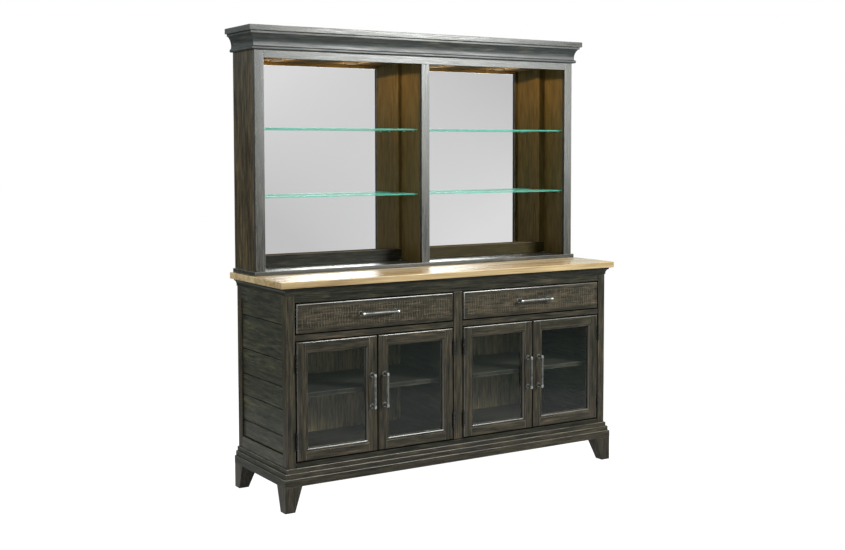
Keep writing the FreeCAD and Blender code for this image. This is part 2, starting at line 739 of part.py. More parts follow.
# Drawers and their runners.
box_bottom = drawer_opening[0] + size("drawer_box_lift")
box_z = (box_bottom, box_bottom + size("drawer_box_height"))
box_y = deep(size("back_thickness") + size("drawer_back_gap"),
             door_face_depth - size("front_thickness"))
box_x = grow(bay, -size("runner_space"))
runner_z = box_bottom + size("runner_rise")
runner_y = deep(size("back_thickness") + size("runner_back_gap"),
                frame_back - size("runner_setback"))


def channel(name, face, outward):
    """A runner channel on a face. Outward is 1 where the face is on the right."""
    far = face - size("runner_channel_depth") * outward
    sheet_in = size("runner_sheet") * outward
    high = size("runner_height") / 2
    inner = high - size("runner_sheet")
    lip = high - size("runner_lip")
    outline = [line(face, runner_z - high), line(far, runner_z - high),
               line(far, runner_z - lip), line(far + sheet_in, runner_z - lip),
               line(far + sheet_in, runner_z - inner), line(face - sheet_in, runner_z - inner),
               line(face - sheet_in, runner_z + inner), line(far + sheet_in, runner_z + inner),
               line(far + sheet_in, runner_z + lip), line(far, runner_z + lip),
               line(far, runner_z + high), line(face, runner_z + high)]
    return prism(name, "XZ_Plane", outline, runner_y)


def slider(name, side, face, outward):
    """The bar on a drawer's side that runs in a channel."""
    clear = size("runner_clearance")
    head = face - (size("runner_channel_depth") - size("runner_sheet") - clear) * outward
    end = face - (size("runner_sheet") + clear) * outward
    neck = size("runner_height") / 2 - size("runner_lip") - clear
    high = size("runner_height") / 2 - size("runner_sheet") - clear
    outline = [line(side, runner_z - neck), line(head, runner_z - neck),
               line(head, runner_z - high), line(end, runner_z - high),
               line(end, runner_z + high), line(head, runner_z + high),
               line(head, runner_z + neck), line(side, runner_z + neck)]
    return prism(name, "XZ_Plane", outline, runner_y)


block_z = (runner_z - size("runner_block_height") / 2, runner_z + size("runner_block_height") / 2)
pair_node("runner_blocks", [
    box("outer_block", (post_inside, rail_inside), post_gap, block_z),
    box("inner_block", (half_partition, half_stile), carcass, block_z)])
pair_node("runner_rails", [channel("outer_channel", post_inside, 1),
                           channel("inner_channel", half_stile, -1)])


def fronted(name, x, z):
    """A front board with its face chamfered all round."""
    easing = size("front_easing")
    face = at(door_face_depth)
    board = box(name + "_board", x, (face + easing, face + size("front_thickness")), z)
    rim = wedge(name + "_rim", x, z, (face, face + easing), -easing, ZERO)
    return fuse(name, [board, rim])


def pull(name, x, z, length, upright):
    """A bar on two posts, level or upright, standing on a front's face."""
    face = at(door_face_depth)
    bar_y = face - size("pull_reach")
    turn = None if upright else ALONG_X
    pieces = []

    def along(offset):
        """The place on the bar at an offset from its middle."""
        return (x, bar_y, z + offset) if upright else (x + offset, bar_y, z)

    half_bar = length / 2 + size("pull_overhang")
    pieces.append(rod(name + "_bar", size("pull_bar_radius"), half_bar * 2, *along(-half_bar), turn))
    for end, sign in (("low", -1), ("high", 1)):
        post = length / 2 * sign
        post_x_z = along(post)
        tip = doc.addObject("Part::Sphere", "%s_tip_%s" % (name, end))
        bind(tip, "Radius", size("pull_tip_radius"))
        put(tip, *along((half_bar - size("pull_tip_radius")) * sign))
        collar = rod("%s_collar_%s" % (name, end), size("pull_collar_radius"),
                     size("pull_collar_length"), *along(post - size("pull_collar_length") / 2), turn)
        stem = doc.addObject("Part::Cone", "%s_post_%s" % (name, end))
        bind(stem, "Radius1", size("pull_post_foot_radius"))
        bind(stem, "Radius2", size("pull_post_radius"))
        bind(stem, "Height", size("pull_reach"))
        stem.Placement = FreeCAD.Placement(FreeCAD.Vector(), ALONG_FRONT)
        put(stem, post_x_z[0], face, post_x_z[2])
        plate = rod("%s_plate_%s" % (name, end), size("pull_plate_radius"),
                    size("pull_plate_thickness"), post_x_z[0], face, post_x_z[2], ALONG_FRONT)
        pieces += [tip, collar, stem, plate]
    return fuse(name, pieces)


front_x = grow(bay, -size("drawer_side_gap"))
front_z = grow(drawer_opening, -size("drawer_gap"))
board = size("drawer_board")
inner_x = grow(box_x, -board)
bottom_z = (box_bottom + size("drawer_bottom_lift"),
            box_bottom + size("drawer_bottom_lift") + size("drawer_bottom_thickness"))
drawer = {
    "front": fronted("drawer_front_board", front_x, front_z),
    "box": group("drawer_boards", [
        box("drawer_side_inner", (box_x[0], inner_x[0]), box_y, box_z),
        box("drawer_side_outer", (inner_x[1], box_x[1]), box_y, box_z),
        box("drawer_box_front", inner_x, (box_y[0], box_y[0] + board), box_z),
        box("drawer_box_back", inner_x, (box_y[1] - board, box_y[1]), box_z),
        box("drawer_bottom", inner_x, grow(box_y, -board), bottom_z)]),
    "pull": pull("drawer_bar_pull", middle(front_x), middle(front_z) + size("drawer_pull_rise"),
                 size("drawer_pull_span"), False),
    "runners": group("drawer_sliders", [
        slider("outer_slider", box_x[1], post_inside, 1),
        slider("inner_slider", box_x[0], half_stile, -1)]),
}
for part_name, thing in drawer.items():
    node("drawer_left_" + part_name, mirrored("left_" + thing.Name, thing))
    node("drawer_right_" + part_name, thing)


# Doors. The right-hand bay is modelled and mirrored: door 3 by the stile, door 4 by the post.
def door_frame(name, x, z):
    """Two stiles and two rails bevelled towards the glass, and the beads that hold it."""
    face = at(door_face_depth)
    rear = face + size("front_thickness")
    sight_x = grow(x, -size("door_stile_width"))
    sight_z = grow(z, -size("door_rail_width"))
    rebate_x = grow(sight_x, size("door_rebate"))
    rebate_z = grow(sight_z, size("door_rebate"))
    step = box(name + "_step", grow(sight_x, size("door_bevel_width")),
               (face - OVERRUN, face + size("door_step")), grow(sight_z, size("door_bevel_width")))
    bevel_y = (face + size("door_step"), face + size("door_step") + size("door_bevel_depth"))
    rebate_front = bevel_y[1] + size("door_lip")
    bead_y = (rebate_front + size("door_glass_thickness"), rear)
    bevel = wedge(name + "_bevel", sight_x, sight_z, bevel_y, size("door_bevel_width"), ZERO)
    sight = box(name + "_sight", sight_x, (face - OVERRUN, rear + OVERRUN), sight_z)
    rebate = box(name + "_rebate", rebate_x, (rebate_front, rear + OVERRUN), rebate_z)
    hole = fuse(name + "_hole", [step, bevel, sight, rebate])
    carved = cut(name + "_carved", fronted(name + "_blank", x, z), [hole])
    through = (face - OVERRUN, rear + OVERRUN)
    pieces = []
    for member, member_x, member_z in (
            ("stile_inner", (x[0], sight_x[0]), z), ("stile_outer", (sight_x[1], x[1]), z),
            ("rail_lower", sight_x, (z[0], sight_z[0])), ("rail_upper", sight_x, (sight_z[1], z[1]))):
        place = box("%s_%s_place" % (name, member), member_x, through, member_z)
        pieces.append(common("%s_%s" % (name, member), carved, place))
    for bead, bead_x, bead_z in (
            ("inner", (rebate_x[0], sight_x[0]), sight_z), ("outer", (sight_x[1], rebate_x[1]), sight_z),
            ("lower", rebate_x, (rebate_z[0], sight_z[0])),
            ("upper", rebate_x, (sight_z[1], rebate_z[1]))):
        pieces.append(box("%s_bead_%s" % (name, bead), bead_x, bead_y, bead_z))
    pane = box(name + "_pane", grow(rebate_x, -size("glass_clearance")),
               (rebate_front, bead_y[0]), grow(rebate_z, -size("glass_clearance")))
    return group(name + "_members", pieces), pane


def hinge(name, axis_x, outward, z):
    """The door's half and the frame's half of a hinge. Outward is 1 where the frame is right."""
    face = at(door_face_depth)
    axis_y = face - size("knuckle_clearance") - size("knuckle_radius")
    leaf_front = axis_y + size("knuckle_radius") + size("knuckle_gap")
    leaf_y = (leaf_front, face + size("front_thickness"))
    tab_y = (axis_y, leaf_front)
    low = z - size("hinge_height") / 2
    high = z + size("hinge_height") / 2
    third = size("hinge_height") / 3
    gap = size("knuckle_gap") / 2
    outer = size("door_side_gap") / 2 * outward
    inner = outer - size("hinge_leaf_thickness") * outward
    frame_x = span(axis_x + inner, axis_x + outer)
    door_x = span(axis_x - outer, axis_x - inner)
    own = (low + third + gap, high - third - gap)
    slot = (low + third - gap, high - third + gap)
    door_tab = box(name + "_door_tab", door_x, tab_y, own)
    knuckle = rod(name + "_door_knuckle", size("knuckle_radius"), own[1] - own[0],
                  axis_x, axis_y, own[0])
    door_leaf = box(name + "_door_leaf", door_x, leaf_y, (low, high))
    bore = rod(name + "_bore", size("hinge_pin_radius") + size("hinge_pin_clearance"),
               size("hinge_height"), axis_x, axis_y, low)
    door_half = cut(name + "_door_half", fuse(name + "_door_solid", [door_leaf, door_tab, knuckle]),
                    [bore])
    barrel = rod(name + "_barrel", size("knuckle_radius"), size("hinge_height"), axis_x, axis_y, low)
    frame_tab = box(name + "_frame_tab", frame_x, tab_y, (low, high))
    reach = size("knuckle_radius") + OVERRUN
    opening = box(name + "_opening", (axis_x - reach, axis_x + reach),
                  (axis_y - reach, leaf_front), slot)
    frame_barrel = cut(name + "_frame_barrel", fuse(name + "_frame_solid", [barrel, frame_tab]),
                       [opening])
    frame_leaf = box(name + "_frame_leaf", frame_x, leaf_y, (low, high))
    head = size("hinge_head_height")
    pin = rod(name + "_pin", size("hinge_pin_radius"), size("hinge_height"), axis_x, axis_y, low)
    heads = [rod(name + "_head_low", size("hinge_head_radius"), head, axis_x, axis_y, low - head),
             rod(name + "_head_high", size("hinge_head_radius"), head, axis_x, axis_y, high)]
    frame_half = fuse(name + "_frame_half", [frame_leaf, frame_barrel, pin] + heads)
    return door_half, frame_half


door_z = grow(door_opening, -size("door_gap"))
meeting = middle(bay)
half_meeting = size("door_side_gap") / 2
door_spans = {
    3: (bay[0] + size("door_side_gap"), meeting - half_meeting),
    4: (meeting + half_meeting, bay[1] - size("door_side_gap")),
}
frame_halves = []
for number, twin_number in ((3, 2), (4, 1)):
    name = "door%d" % number
    x = door_spans[number]
    outward = -1 if number == 3 else 1
    hinge_x = x[0] - half_meeting if number == 3 else x[1] + half_meeting
    pull_x = x[1] - size("door_pull_inset") if number == 3 else x[0] + size("door_pull_inset")
    frame, pane = door_frame(name, x, door_z)
    door_halves = []
    for end, z in (("low", door_z[0] + size("hinge_inset")), ("high", door_z[1] - size("hinge_inset"))):
        door_half, frame_half = hinge("%s_hinge_%s" % (name, end), hinge_x, outward, z)
        door_halves.append(door_half)
        frame_halves.append(frame_half)
    door = {
        "frame": frame,
        "glass": pane,
        "pull": pull(name + "_bar_pull", pull_x, middle(door_z) + size("door_pull_rise"),
                     size("door_pull_span"), True),
        "hinges": group(name + "_door_halves", door_halves),
    }
    for part_name, thing in door.items():
        node("door_%d_%s" % (twin_number, part_name), mirrored("twin_" + thing.Name, thing))
        node("door_%d_%s" % (number, part_name), thing)
pair_node("frame_hinges", frame_halves)

catch_front = door_face_depth - size("front_thickness") - size("catch_gap")
catch_y = deep(catch_front - size("catch_depth"), catch_front)
catch_z = (door_opening[1] - size("catch_height"), door_opening[1])
catches = []
for side, sign in (("inner", -1), ("outer", 1)):
    centre = meeting + size("catch_inset") * sign
    catches.append(box("catch_" + side, grow((centre, centre), size("catch_width") / 2), catch_y, catch_z))
pair_node("door_catches", catches)

# Hutch: case, frame, mirrors, glass shelves and lights.
base_board = box("hutch_base_board", grow((-half_hutch, half_hutch), size("hutch_base_reach")),
                 deep(ZERO, size("hutch_depth") + size("hutch_base_reach")),
                 (size("counter_height"), hutch_floor))
node("hutch_base", cut("hutch_base_drilled", base_board, [all_screw_holes]))

glass_back = strip_face + size("shelf_clearance")
glass_y = deep(glass_back, glass_back + size("glass_shelf_depth"))
glass_shelves = []
side_bores = []
partition_bores = []
for level, share in enumerate(GLASS_SHELF_SHARES, start=1):
    under = hutch_floor + (hutch_ceiling - hutch_floor) * share
    glass_shelves.append(box("glass_shelf_%d" % level, grow(hutch_bay, -size("shelf_clearance")),
                             glass_y, (under, under + size("glass_shelf_thickness"))))
    side_pins, holes = wall_pins("hutch_side_%d" % level, hutch_side_inside, 1,
                                 pin_places(glass_y), under)
    side_bores += holes
    middle_pins, holes = wall_pins("hutch_middle_%d" % level, half_hutch_partition, -1,
                                   pin_places(glass_y), under)
    partition_bores += holes
    pins += side_pins + middle_pins
pair_node("glass_shelves", glass_shelves)
pair_node("shelf_pins", pins)

side_board = box("hutch_side_board", (hutch_side_inside, half_hutch), deep(ZERO, hutch_side_depth),
                 (hutch_floor, cap_bottom))
side_drilled = cut("hutch_side_drilled", side_board, side_bores)
node("hutch_side_right", side_drilled)
node("hutch_side_left", mirrored("hutch_side_twin", side_drilled))

middle_board = box("hutch_middle_board", (-half_hutch_partition, half_hutch_partition),
                   deep(size("hutch_back_thickness"), hutch_side_depth), (hutch_floor, hutch_ceiling))
right_bores = group("hutch_bores_right", partition_bores)
node("hutch_partition", cut("hutch_middle_drilled", middle_board,
                            [right_bores, mirrored("hutch_bores_left", right_bores)]))

node("hutch_top", box("hutch_top_board", (-hutch_side_inside, hutch_side_inside),
                      deep(size("hutch_back_thickness"), hutch_side_depth),
                      (hutch_ceiling, hutch_ceiling + size("hutch_top_thickness"))))
node("hutch_back", box("hutch_back_panel", (-hutch_side_inside, hutch_side_inside),
                       deep(ZERO, size("hutch_back_thickness")),
                       (hutch_floor, hutch_ceiling + size("hutch_top_thickness"))))

hutch_face = deep(hutch_side_depth, size("hutch_depth"))
stile_x = (half_hutch - size("hutch_stile_width"), half_hutch)
node("hutch_stiles", group("hutch_uprights", [
    box("hutch_stile_right", stile_x, hutch_face, (hutch_floor, cap_bottom)),
    box("hutch_stile_left", (-stile_x[1], -stile_x[0]), hutch_face, (hutch_floor, cap_bottom)),
    box("hutch_stile_middle", (-half_hutch_partition, half_hutch_partition), hutch_face,
        (hutch_floor, hutch_rail_bottom))]))
node("hutch_top_rail", box("hutch_rail_board", (-stile_x[0], stile_x[0]), hutch_face,
                           (hutch_rail_bottom, cap_bottom)))

mirror_x = grow(hutch_bay, -size("mirror_clearance"))
mirror_z = grow((hutch_floor, hutch_ceiling), -size("mirror_clearance"))
pair_node("mirrors", [box("mirror_pane", mirror_x, deep(size("hutch_back_thickness"), mirror_face),
                          mirror_z)])
strip_y = deep(mirror_face, strip_face)
rail_top = hutch_floor + size("mirror_rail_height")
strip_z = (rail_top, hutch_ceiling)
pair_node("mirror_frames", [
    box("mirror_rail", hutch_bay, strip_y, (hutch_floor, rail_top)),
    box("mirror_strip_inner", (hutch_bay[0], hutch_bay[0] + size("mirror_inner_strip")), strip_y, strip_z),
    box("mirror_strip_outer", (hutch_bay[1] - size("mirror_outer_strip"), hutch_bay[1]), strip_y,
        strip_z)])

housings = []
lenses = []
for side, x in (("inner", hutch_bay[0] + size("light_inset")),
                ("outer", hutch_bay[1] - size("light_inset"))):
    y = at(size("light_setback"))
    housing_bottom = hutch_ceiling - size("light_height")
    housings.append(rod("light_housing_" + side, size("light_radius"), size("light_height"),
                        x, y, housing_bottom))
    lenses.append(rod("light_lens_" + side, size("lens_radius"), size("lens_height"),
                      x, y, housing_bottom - size("lens_height")))
pair_node("light_housings", housings)
pair_node("light_lenses", lenses)

# Checks and export.
doc.recompute()
for thing in doc.Objects:
    if "Invalid" in thing.State or "Error" in thing.State:
        raise RuntimeError("%s failed: %s" % (thing.Label, thing.State))
for thing in nodes:
    if thing.Shape.isNull() or not thing.Shape.isValid() or not thing.Shape.Solids:
        raise RuntimeError("%s has no sound shape" % thing.Label)
os.makedirs("parts", exist_ok=True)
for thing in nodes:
    thing.Shape.exportStep("parts/%s.step" % thing.Label)
print("%d sub-parts" % len(nodes))
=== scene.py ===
# %% [markdown]
# A buffet cabinet with a mirrored hutch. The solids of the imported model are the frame: every
# board, pane and handle below stands where its solid stands, and takes over from it with eased
# edges, grain and finish. Sizes are in millimetres, with depths counted from the back, because
# that is how a cabinet maker measures, and one helper turns them into metres.

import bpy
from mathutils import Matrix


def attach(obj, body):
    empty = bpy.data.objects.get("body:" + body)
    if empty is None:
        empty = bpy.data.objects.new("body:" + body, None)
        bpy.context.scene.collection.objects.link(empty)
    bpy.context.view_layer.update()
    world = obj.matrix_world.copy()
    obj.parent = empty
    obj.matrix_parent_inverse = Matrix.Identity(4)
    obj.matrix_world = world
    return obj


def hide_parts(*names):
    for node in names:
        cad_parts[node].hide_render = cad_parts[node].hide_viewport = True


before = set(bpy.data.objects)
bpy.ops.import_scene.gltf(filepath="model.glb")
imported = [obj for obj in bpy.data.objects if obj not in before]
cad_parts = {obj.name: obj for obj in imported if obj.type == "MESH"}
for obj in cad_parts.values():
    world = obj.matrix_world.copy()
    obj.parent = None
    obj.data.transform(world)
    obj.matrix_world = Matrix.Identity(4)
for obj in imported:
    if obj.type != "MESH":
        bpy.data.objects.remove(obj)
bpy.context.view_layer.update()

# %% Modules and measures
import math
import random
from contextlib import contextmanager

import bmesh
import bpy
import numpy as np
from mathutils import Matrix, Vector

MM = 0.001
BACK = 0.255
SEED = 28
luck = random.Random(SEED)


def place(x, depth, z):
    """A point from millimetres across, out from the back and up."""
    return Vector((x * MM, BACK - depth * MM, z * MM))

# %% [markdown]
# The camera. The photograph is taken from the left, a little above the countertop, with a lens
# that keeps the uprights nearly parallel. A view camera does that by shifting its lens, and
# shift_y is the same thing here. The shift is kept small so that other views hold the cabinet
# in the middle of the frame.

# %% Camera
CAMERA_PLACE = (-2.8961, -4.5742, 1.4226)
CAMERA_YAW = math.radians(31.958)
CAMERA_PITCH = math.radians(-3.439)
CAMERA_ROLL = -0.0021
SENSOR_WIDTH = 36
FOCAL_LENGTH = 52.802
LENS_SHIFT = -0.0592


def camera_turn(yaw, pitch, roll):
    """The camera's axes from its yaw, pitch and roll."""
    ahead = Vector((math.sin(yaw) * math.cos(pitch), math.cos(yaw) * math.cos(pitch),
                    math.sin(pitch)))
    level = Vector((math.cos(yaw), -math.sin(yaw), 0))
    up = level.cross(ahead)
    right = level * math.cos(roll) + up * math.sin(roll)
    return Matrix((right, up * math.cos(roll) - level * math.sin(roll), -ahead)).transposed()


lens = bpy.data.cameras.new("camera")
lens.sensor_width = SENSOR_WIDTH
lens.lens = FOCAL_LENGTH
lens.shift_y = LENS_SHIFT
camera = bpy.data.objects.new("camera", lens)
camera.matrix_world = Matrix.Translation(CAMERA_PLACE) @ camera_turn(
    CAMERA_YAW, CAMERA_PITCH, CAMERA_ROLL).to_4x4()
bpy.context.scene.collection.objects.link(camera)
bpy.context.scene.camera = camera
print("camera", tuple(round(v, 3) for v in camera.location))

# %% [markdown]
# The studio. A plain pale floor and five soft lights. The large one at the front right stands
# where the satin fronts of the hutch mirror it towards the camera, which gives the long pale
# sheen on the upper frame that fades downwards. The low one beside it is for the hutch's frame
# and base board alone, because the drawers and doors show no such sheen, so it is linked to
# those pieces once they are made. The others fill in from above and from the left.

# %% Studio
def soft_light(name, at, aim, width, height, watts, colour):
    """A rectangular softbox that faces a point."""
    data = bpy.data.lights.new(name, "AREA")
    data.shape, data.size, data.size_y = "RECTANGLE", width, height
    data.energy, data.color = watts, colour
    light = bpy.data.objects.new(name, data)
    light.location = at
    light.rotation_mode = "QUATERNION"
    light.rotation_quaternion = (Vector(aim) - Vector(at)).to_track_quat("-Z", "Y")
    light.visible_camera = False
    bpy.context.scene.collection.objects.link(light)
    return light


WHITE = (1, 1, 1)
# Each light's name, place, aim, width, height, watts and colour.
SOFTBOXES = (
    ("softbox_right", (2.1, -3.6, 2.8), (0, 0.04, 1.6), 1.45, 1.25, 214, (0.97, 1, 0.98)),
    ("softbox_low", (2.5, -3.6, 1.65), (0, 0.04, 1.4), 3.5, 1.0, 72, (0.96, 1, 0.98)),
    ("softbox_above", (0, 0, 4.3), (0, 0, 0), 2.2, 1.4, 58, WHITE),
    ("softbox_left", (-3.6, 0.3, 1.5), (-0.8, 0, 1.0), 1.6, 2.0, 28, WHITE),
    ("strip_left", (-3.3, -1.85, 1.15), (-0.4, -0.2, 0.7), 0.55, 1.5, 27, (0.93, 1, 0.99)))
softboxes = {row[0]: soft_light(*row) for row in SOFTBOXES}
print(len(softboxes), "soft lights")

# %% Floor
FLOOR_RADIUS = 2.3

bpy.ops.object.select_all(action="DESELECT")
bpy.ops.mesh.primitive_circle_add(vertices=96, radius=FLOOR_RADIUS, fill_type="NGON")
floor = bpy.context.object
floor.name = "floor"
bpy.context.scene.view_settings.view_transform = "Standard"
bpy.context.scene.view_settings.look = "None"
print("floor", FLOOR_RADIUS * 2, "m across")

# %% [markdown]
# Shader maths. A material is a network of nodes, and sums on numbers are easier to read as
# sums. Wire wraps one output of a node, so that a * 2 + b adds the Math nodes, and Finish is one
# material that adds any other node from its type, its settings and its inputs.

# %% Shader helpers
class Wire:
    """One output of a node. Sums on it add Math nodes."""

    def __init__(self, finish, socket):
        self.finish, self.socket = finish, socket

    def maths(self, operation, *values):
        """A Math node on these values."""
        return self.finish.add("ShaderNodeMath", {"operation": operation}, values)

    def __add__(self, other):
        return self.maths("ADD", self, other)

    def __sub__(self, other):
        return self.maths("SUBTRACT", self, other)

    def __rsub__(self, other):
        return self.maths("SUBTRACT", other, self)

    def __mul__(self, other):
        return self.maths("MULTIPLY", self, other)

    __radd__ = __add__
    __rmul__ = __mul__

    def least(self, other):
        """The smaller of two values."""
        return self.maths("MINIMUM", self, other)

    def most(self, other):
        """The larger of two values."""
        return self.maths("MAXIMUM", self, other)

    def scaled(self, x, y, z):
        """A vector stretched along each axis."""
        return self.finish.add("ShaderNodeVectorMath", {"operation": "MULTIPLY"},
                               (self, (x, y, z)))

    def step(self, start, end, low=0.0, high=1.0):
        """A smooth step from low to high as the value goes from start to end."""
        return self.finish.add("ShaderNodeMapRange", {"interpolation_type": "SMOOTHSTEP"},
                               (self, start, end, low, high))


# A Mix node on colours: the sockets of its share and its two colours, and its output.
SHARE, FIRST, SECOND, MIXED = 0, 6, 7, 2


class Finish:
    """A material and its nodes."""

    def __init__(self, name, holder=None, shader="Principled BSDF", **constants):
        self.material = holder or bpy.data.materials.new(name)
        self.material.use_nodes = True
        self.tree = self.material.node_tree
        self.shader = self.tree.nodes[shader]
        for socket, value in constants.items():
            self.set(socket.replace("_", " "), value)

    def set(self, socket, value):
        """Sets or links one socket of the shader."""
        self.feed(self.shader.inputs[socket], value)

    def feed(self, socket, value):
        """Links a wire to a socket, or sets a plain value there."""
        if isinstance(value, Wire):
            self.tree.links.new(value.socket, socket)
        elif socket.type == "RGBA":
            socket.default_value = (*value, 1)
        else:
            socket.default_value = value

    def add(self, kind, settings, inputs=(), output=0):
        """Adds a node, with its settings first and then its inputs."""
        node = self.tree.nodes.new(kind)
        for key, value in settings.items():
            if key == "stops":
                ramp = node.color_ramp
                while len(ramp.elements) < len(value):
                    ramp.elements.new(1)
                for element, (position, colour) in zip(ramp.elements, value):
                    element.position, element.color = position, (*colour, 1)
            else:
                setattr(node, key, value)
        pairs = inputs.items() if isinstance(inputs, dict) else enumerate(inputs)
        for key, value in pairs:
            self.feed(node.inputs[key], value)
        return Wire(self, node.outputs[output])

    def attribute(self, name):
        """A vector stored on the mesh."""
        return self.add("ShaderNodeAttribute", {"attribute_name": name}, output="Vector")

    def lies(self):
        """The place on the object."""
        return self.add("ShaderNodeTexCoord", {}, output="Object")

    def noise(self, vector, detail=3, roughness=0.55, distortion=0.0, scale=1.0):
        """Soft random clouds from 0 to 1."""
        return self.add("ShaderNodeTexNoise", {}, {
            "Vector": vector, "Scale": scale, "Detail": detail, "Roughness": roughness,
            "Distortion": distortion})

    def split(self, vector):
        """The three numbers of a vector."""
        node = self.add("ShaderNodeSeparateXYZ", {}, (vector,))
        return [Wire(self, socket) for socket in node.socket.node.outputs]

    def ramp(self, value, stops):
        """A value turned into colours."""
        return self.add("ShaderNodeValToRGB", {"stops": stops}, (value,))

    def mix(self, share, first, second):
        """One colour turned into another."""
        return self.add("ShaderNodeMix", {"data_type": "RGBA"},
                        {SHARE: share, FIRST: first, SECOND: second}, MIXED)

    def relief(self, height, distance, strength=1.0):
        """Bumps on the surface, with their real height in metres."""
        bump = self.add("ShaderNodeBump", {}, {"Strength": strength, "Distance": distance,
                                               "Height": height})
        self.set("Normal", bump)


def rim(finish, width, sharp=0.0):
    """1 on a board's edges, fading to 0 within a width."""
    spot = finish.add("ShaderNodeVectorMath", {"operation": "ABSOLUTE"},
                      (finish.attribute("spot"),))
    left = finish.add("ShaderNodeVectorMath", {"operation": "SUBTRACT"},
                      (finish.attribute("half"), spot))
    a, b, c = finish.split(left)
    # On a face one distance is 0, so the second smallest of the three is the nearest edge.
    nearest = a.least(b).most(a.most(b).least(c))
    return nearest.step(sharp, width, 1.0, 0.0)

# %% [markdown]
# The room itself is the world. The camera sees it as plain white, and what the cabinet mirrors
# is a studio: grey walls that are paler towards the right, a darker ceiling, a bright narrow
# strip high up behind, and a shady band where the floor ends. The floor does the same: white
# to the camera, and dimmer at the left for what mirrors it.

# %% World
CEILING_SHADE = 0.36
SWEEP = 0.09
GREEN_TINT, CLEAR_TINT, TEAL_TINT = (0.84, 1.0, 0.92), (1, 1, 1.01), (0.86, 1.0, 1.0)

room = Finish("room", bpy.data.worlds.new("room"), "Background")
bpy.context.scene.world = room.material
east, north, up = room.split(room.add("ShaderNodeTexCoord", {}))
behind = north.step(-0.1, 0.3)
# The walls, with a slight lighter sweep across them, under the ceiling and over the floor's end.
sweep = ((east - 0.5) * up * -20).least(SWEEP).most(-SWEEP)
wall = east.step(-0.2, 0.4, 0.16, 0.66) + sweep
ceiling = up.step(0.05, 0.6)
ground = up.step(-0.125, -0.095, 0.2, 1.0) + up.step(-0.18, -0.13, 0.62, 0.0)
shade = (wall + ceiling * (CEILING_SHADE - wall)) * ground
# Behind, a darker wall with the bright strip.
strip = up.step(0.055, 0.095, 0, 2.6) * up.step(0.11, 0.15, 1, 0.12)
shade = shade + behind * (east.step(-0.3, 0.4, 0.12, 0.45) + strip - shade)
tint = room.mix(up.step(-0.12, -0.1), GREEN_TINT, CLEAR_TINT)
tint = room.mix(up.step(0.055, 0.095) * behind, tint, TEAL_TINT)
seen = room.add("ShaderNodeLightPath", {}, output="Is Camera Ray")
room.set("Color", room.mix(seen, room.mix(shade, (0, 0, 0), tint), WHITE))

# %% Floor's finish
def grey(value):
    """A grey of one value."""
    return (value, value, value)


pale = Finish("floor_pale", Roughness=0.8, Emission_Strength=1.0)
seen = pale.add("ShaderNodeLightPath", {}, output="Is Camera Ray")
mirrored = pale.add("ShaderNodeLightPath", {}, output="Is Glossy Ray")
across, _, _ = pale.split(pale.lies())
underfoot = pale.mix(across.step(-1.4, -0.8), grey(0.16), grey(0.5))
pale.set("Emission Color", pale.mix(seen, pale.mix(mirrored, grey(0.08), underfoot), WHITE))
pale.set("Base Color", pale.ramp(pale.noise(pale.lies(), scale=2.0),
                                 ((0.3, grey(0.15)), (0.7, grey(0.17)))))
floor.data.materials.append(pale.material)

# %% [markdown]
# Modelling helpers. Each board starts as a cube at its size and place, its edges are eased with
# a bevel in edit mode, and it then remembers three things for its wood: where a point lies along
# its grain, how far that is from its middle, and its half size. The wood's shader needs them,
# so that each board has its own figure and rubs pale along its own edges.

# %% Selecting and editing
def only(thing):
    """Selects one object and nothing else."""
    bpy.ops.object.select_all(action="DESELECT")
    thing.select_set(True)
    bpy.context.view_layer.objects.active = thing


@contextmanager
def editing(thing, kind="FACE"):
    """Edit mode on one object, with nothing selected in it."""
    only(thing)
    bpy.ops.object.mode_set(mode="EDIT")
    bpy.ops.mesh.select_mode(type=kind)
    bpy.ops.mesh.select_all(action="DESELECT")
    yield
    bpy.ops.object.mode_set(mode="OBJECT")


def pick(thing, kind, test):
    """Selects the vertices, edges or faces that pass a test, and nothing else."""
    bpy.ops.mesh.select_all(action="DESELECT")
    mesh = bmesh.from_edit_mesh(thing.data)
    for item in getattr(mesh, kind):
        if test(item):
            item.select_set(True)
    mesh.select_flush_mode()
    bmesh.update_edit_mesh(thing.data)


def shift(offset):
    """Moves what is selected."""
    bpy.ops.transform.translate(value=offset)

# %% Grain
GRAIN_ORDERS = {"x": (0, 1, 2), "y": (1, 0, 2), "z": (2, 0, 1)}
VECTOR_LENGTH = 3
# Each board's figure starts up to this far off, in metres, so that no two boards are alike.
FAR = 9.0


def corner_places(mesh):
    """The place of every face corner of a mesh."""
    corners = np.zeros(len(mesh.loops), np.int32)
    mesh.loops.foreach_get("vertex_index", corners)
    places = np.zeros(len(mesh.vertices) * VECTOR_LENGTH)
    mesh.vertices.foreach_get("co", places)
    return places.reshape(-1, VECTOR_LENGTH)[corners]


def remember(mesh, name, values):
    """Stores one vector for each face corner."""
    layer = mesh.attributes.get(name) or mesh.attributes.new(name, "FLOAT_VECTOR", "CORNER")
    layer.data.foreach_set("vector", np.ascontiguousarray(values, np.float32).ravel())


def grow_grain(thing, along, low, high):
    """Gives a board its own figure, with the grain along one axis."""
    mesh = thing.data
    order = list(GRAIN_ORDERS[along])
    low, high = np.array(low), np.array(high)
    spots = (corner_places(mesh) - (low + high) / 2)[:, order]
    offset = [luck.uniform(-FAR, FAR) for _ in range(VECTOR_LENGTH)]
    remember(mesh, "spot", spots)
    remember(mesh, "half", np.tile(((high - low) / 2)[order], (len(spots), 1)))
    remember(mesh, "grain", spots + offset)

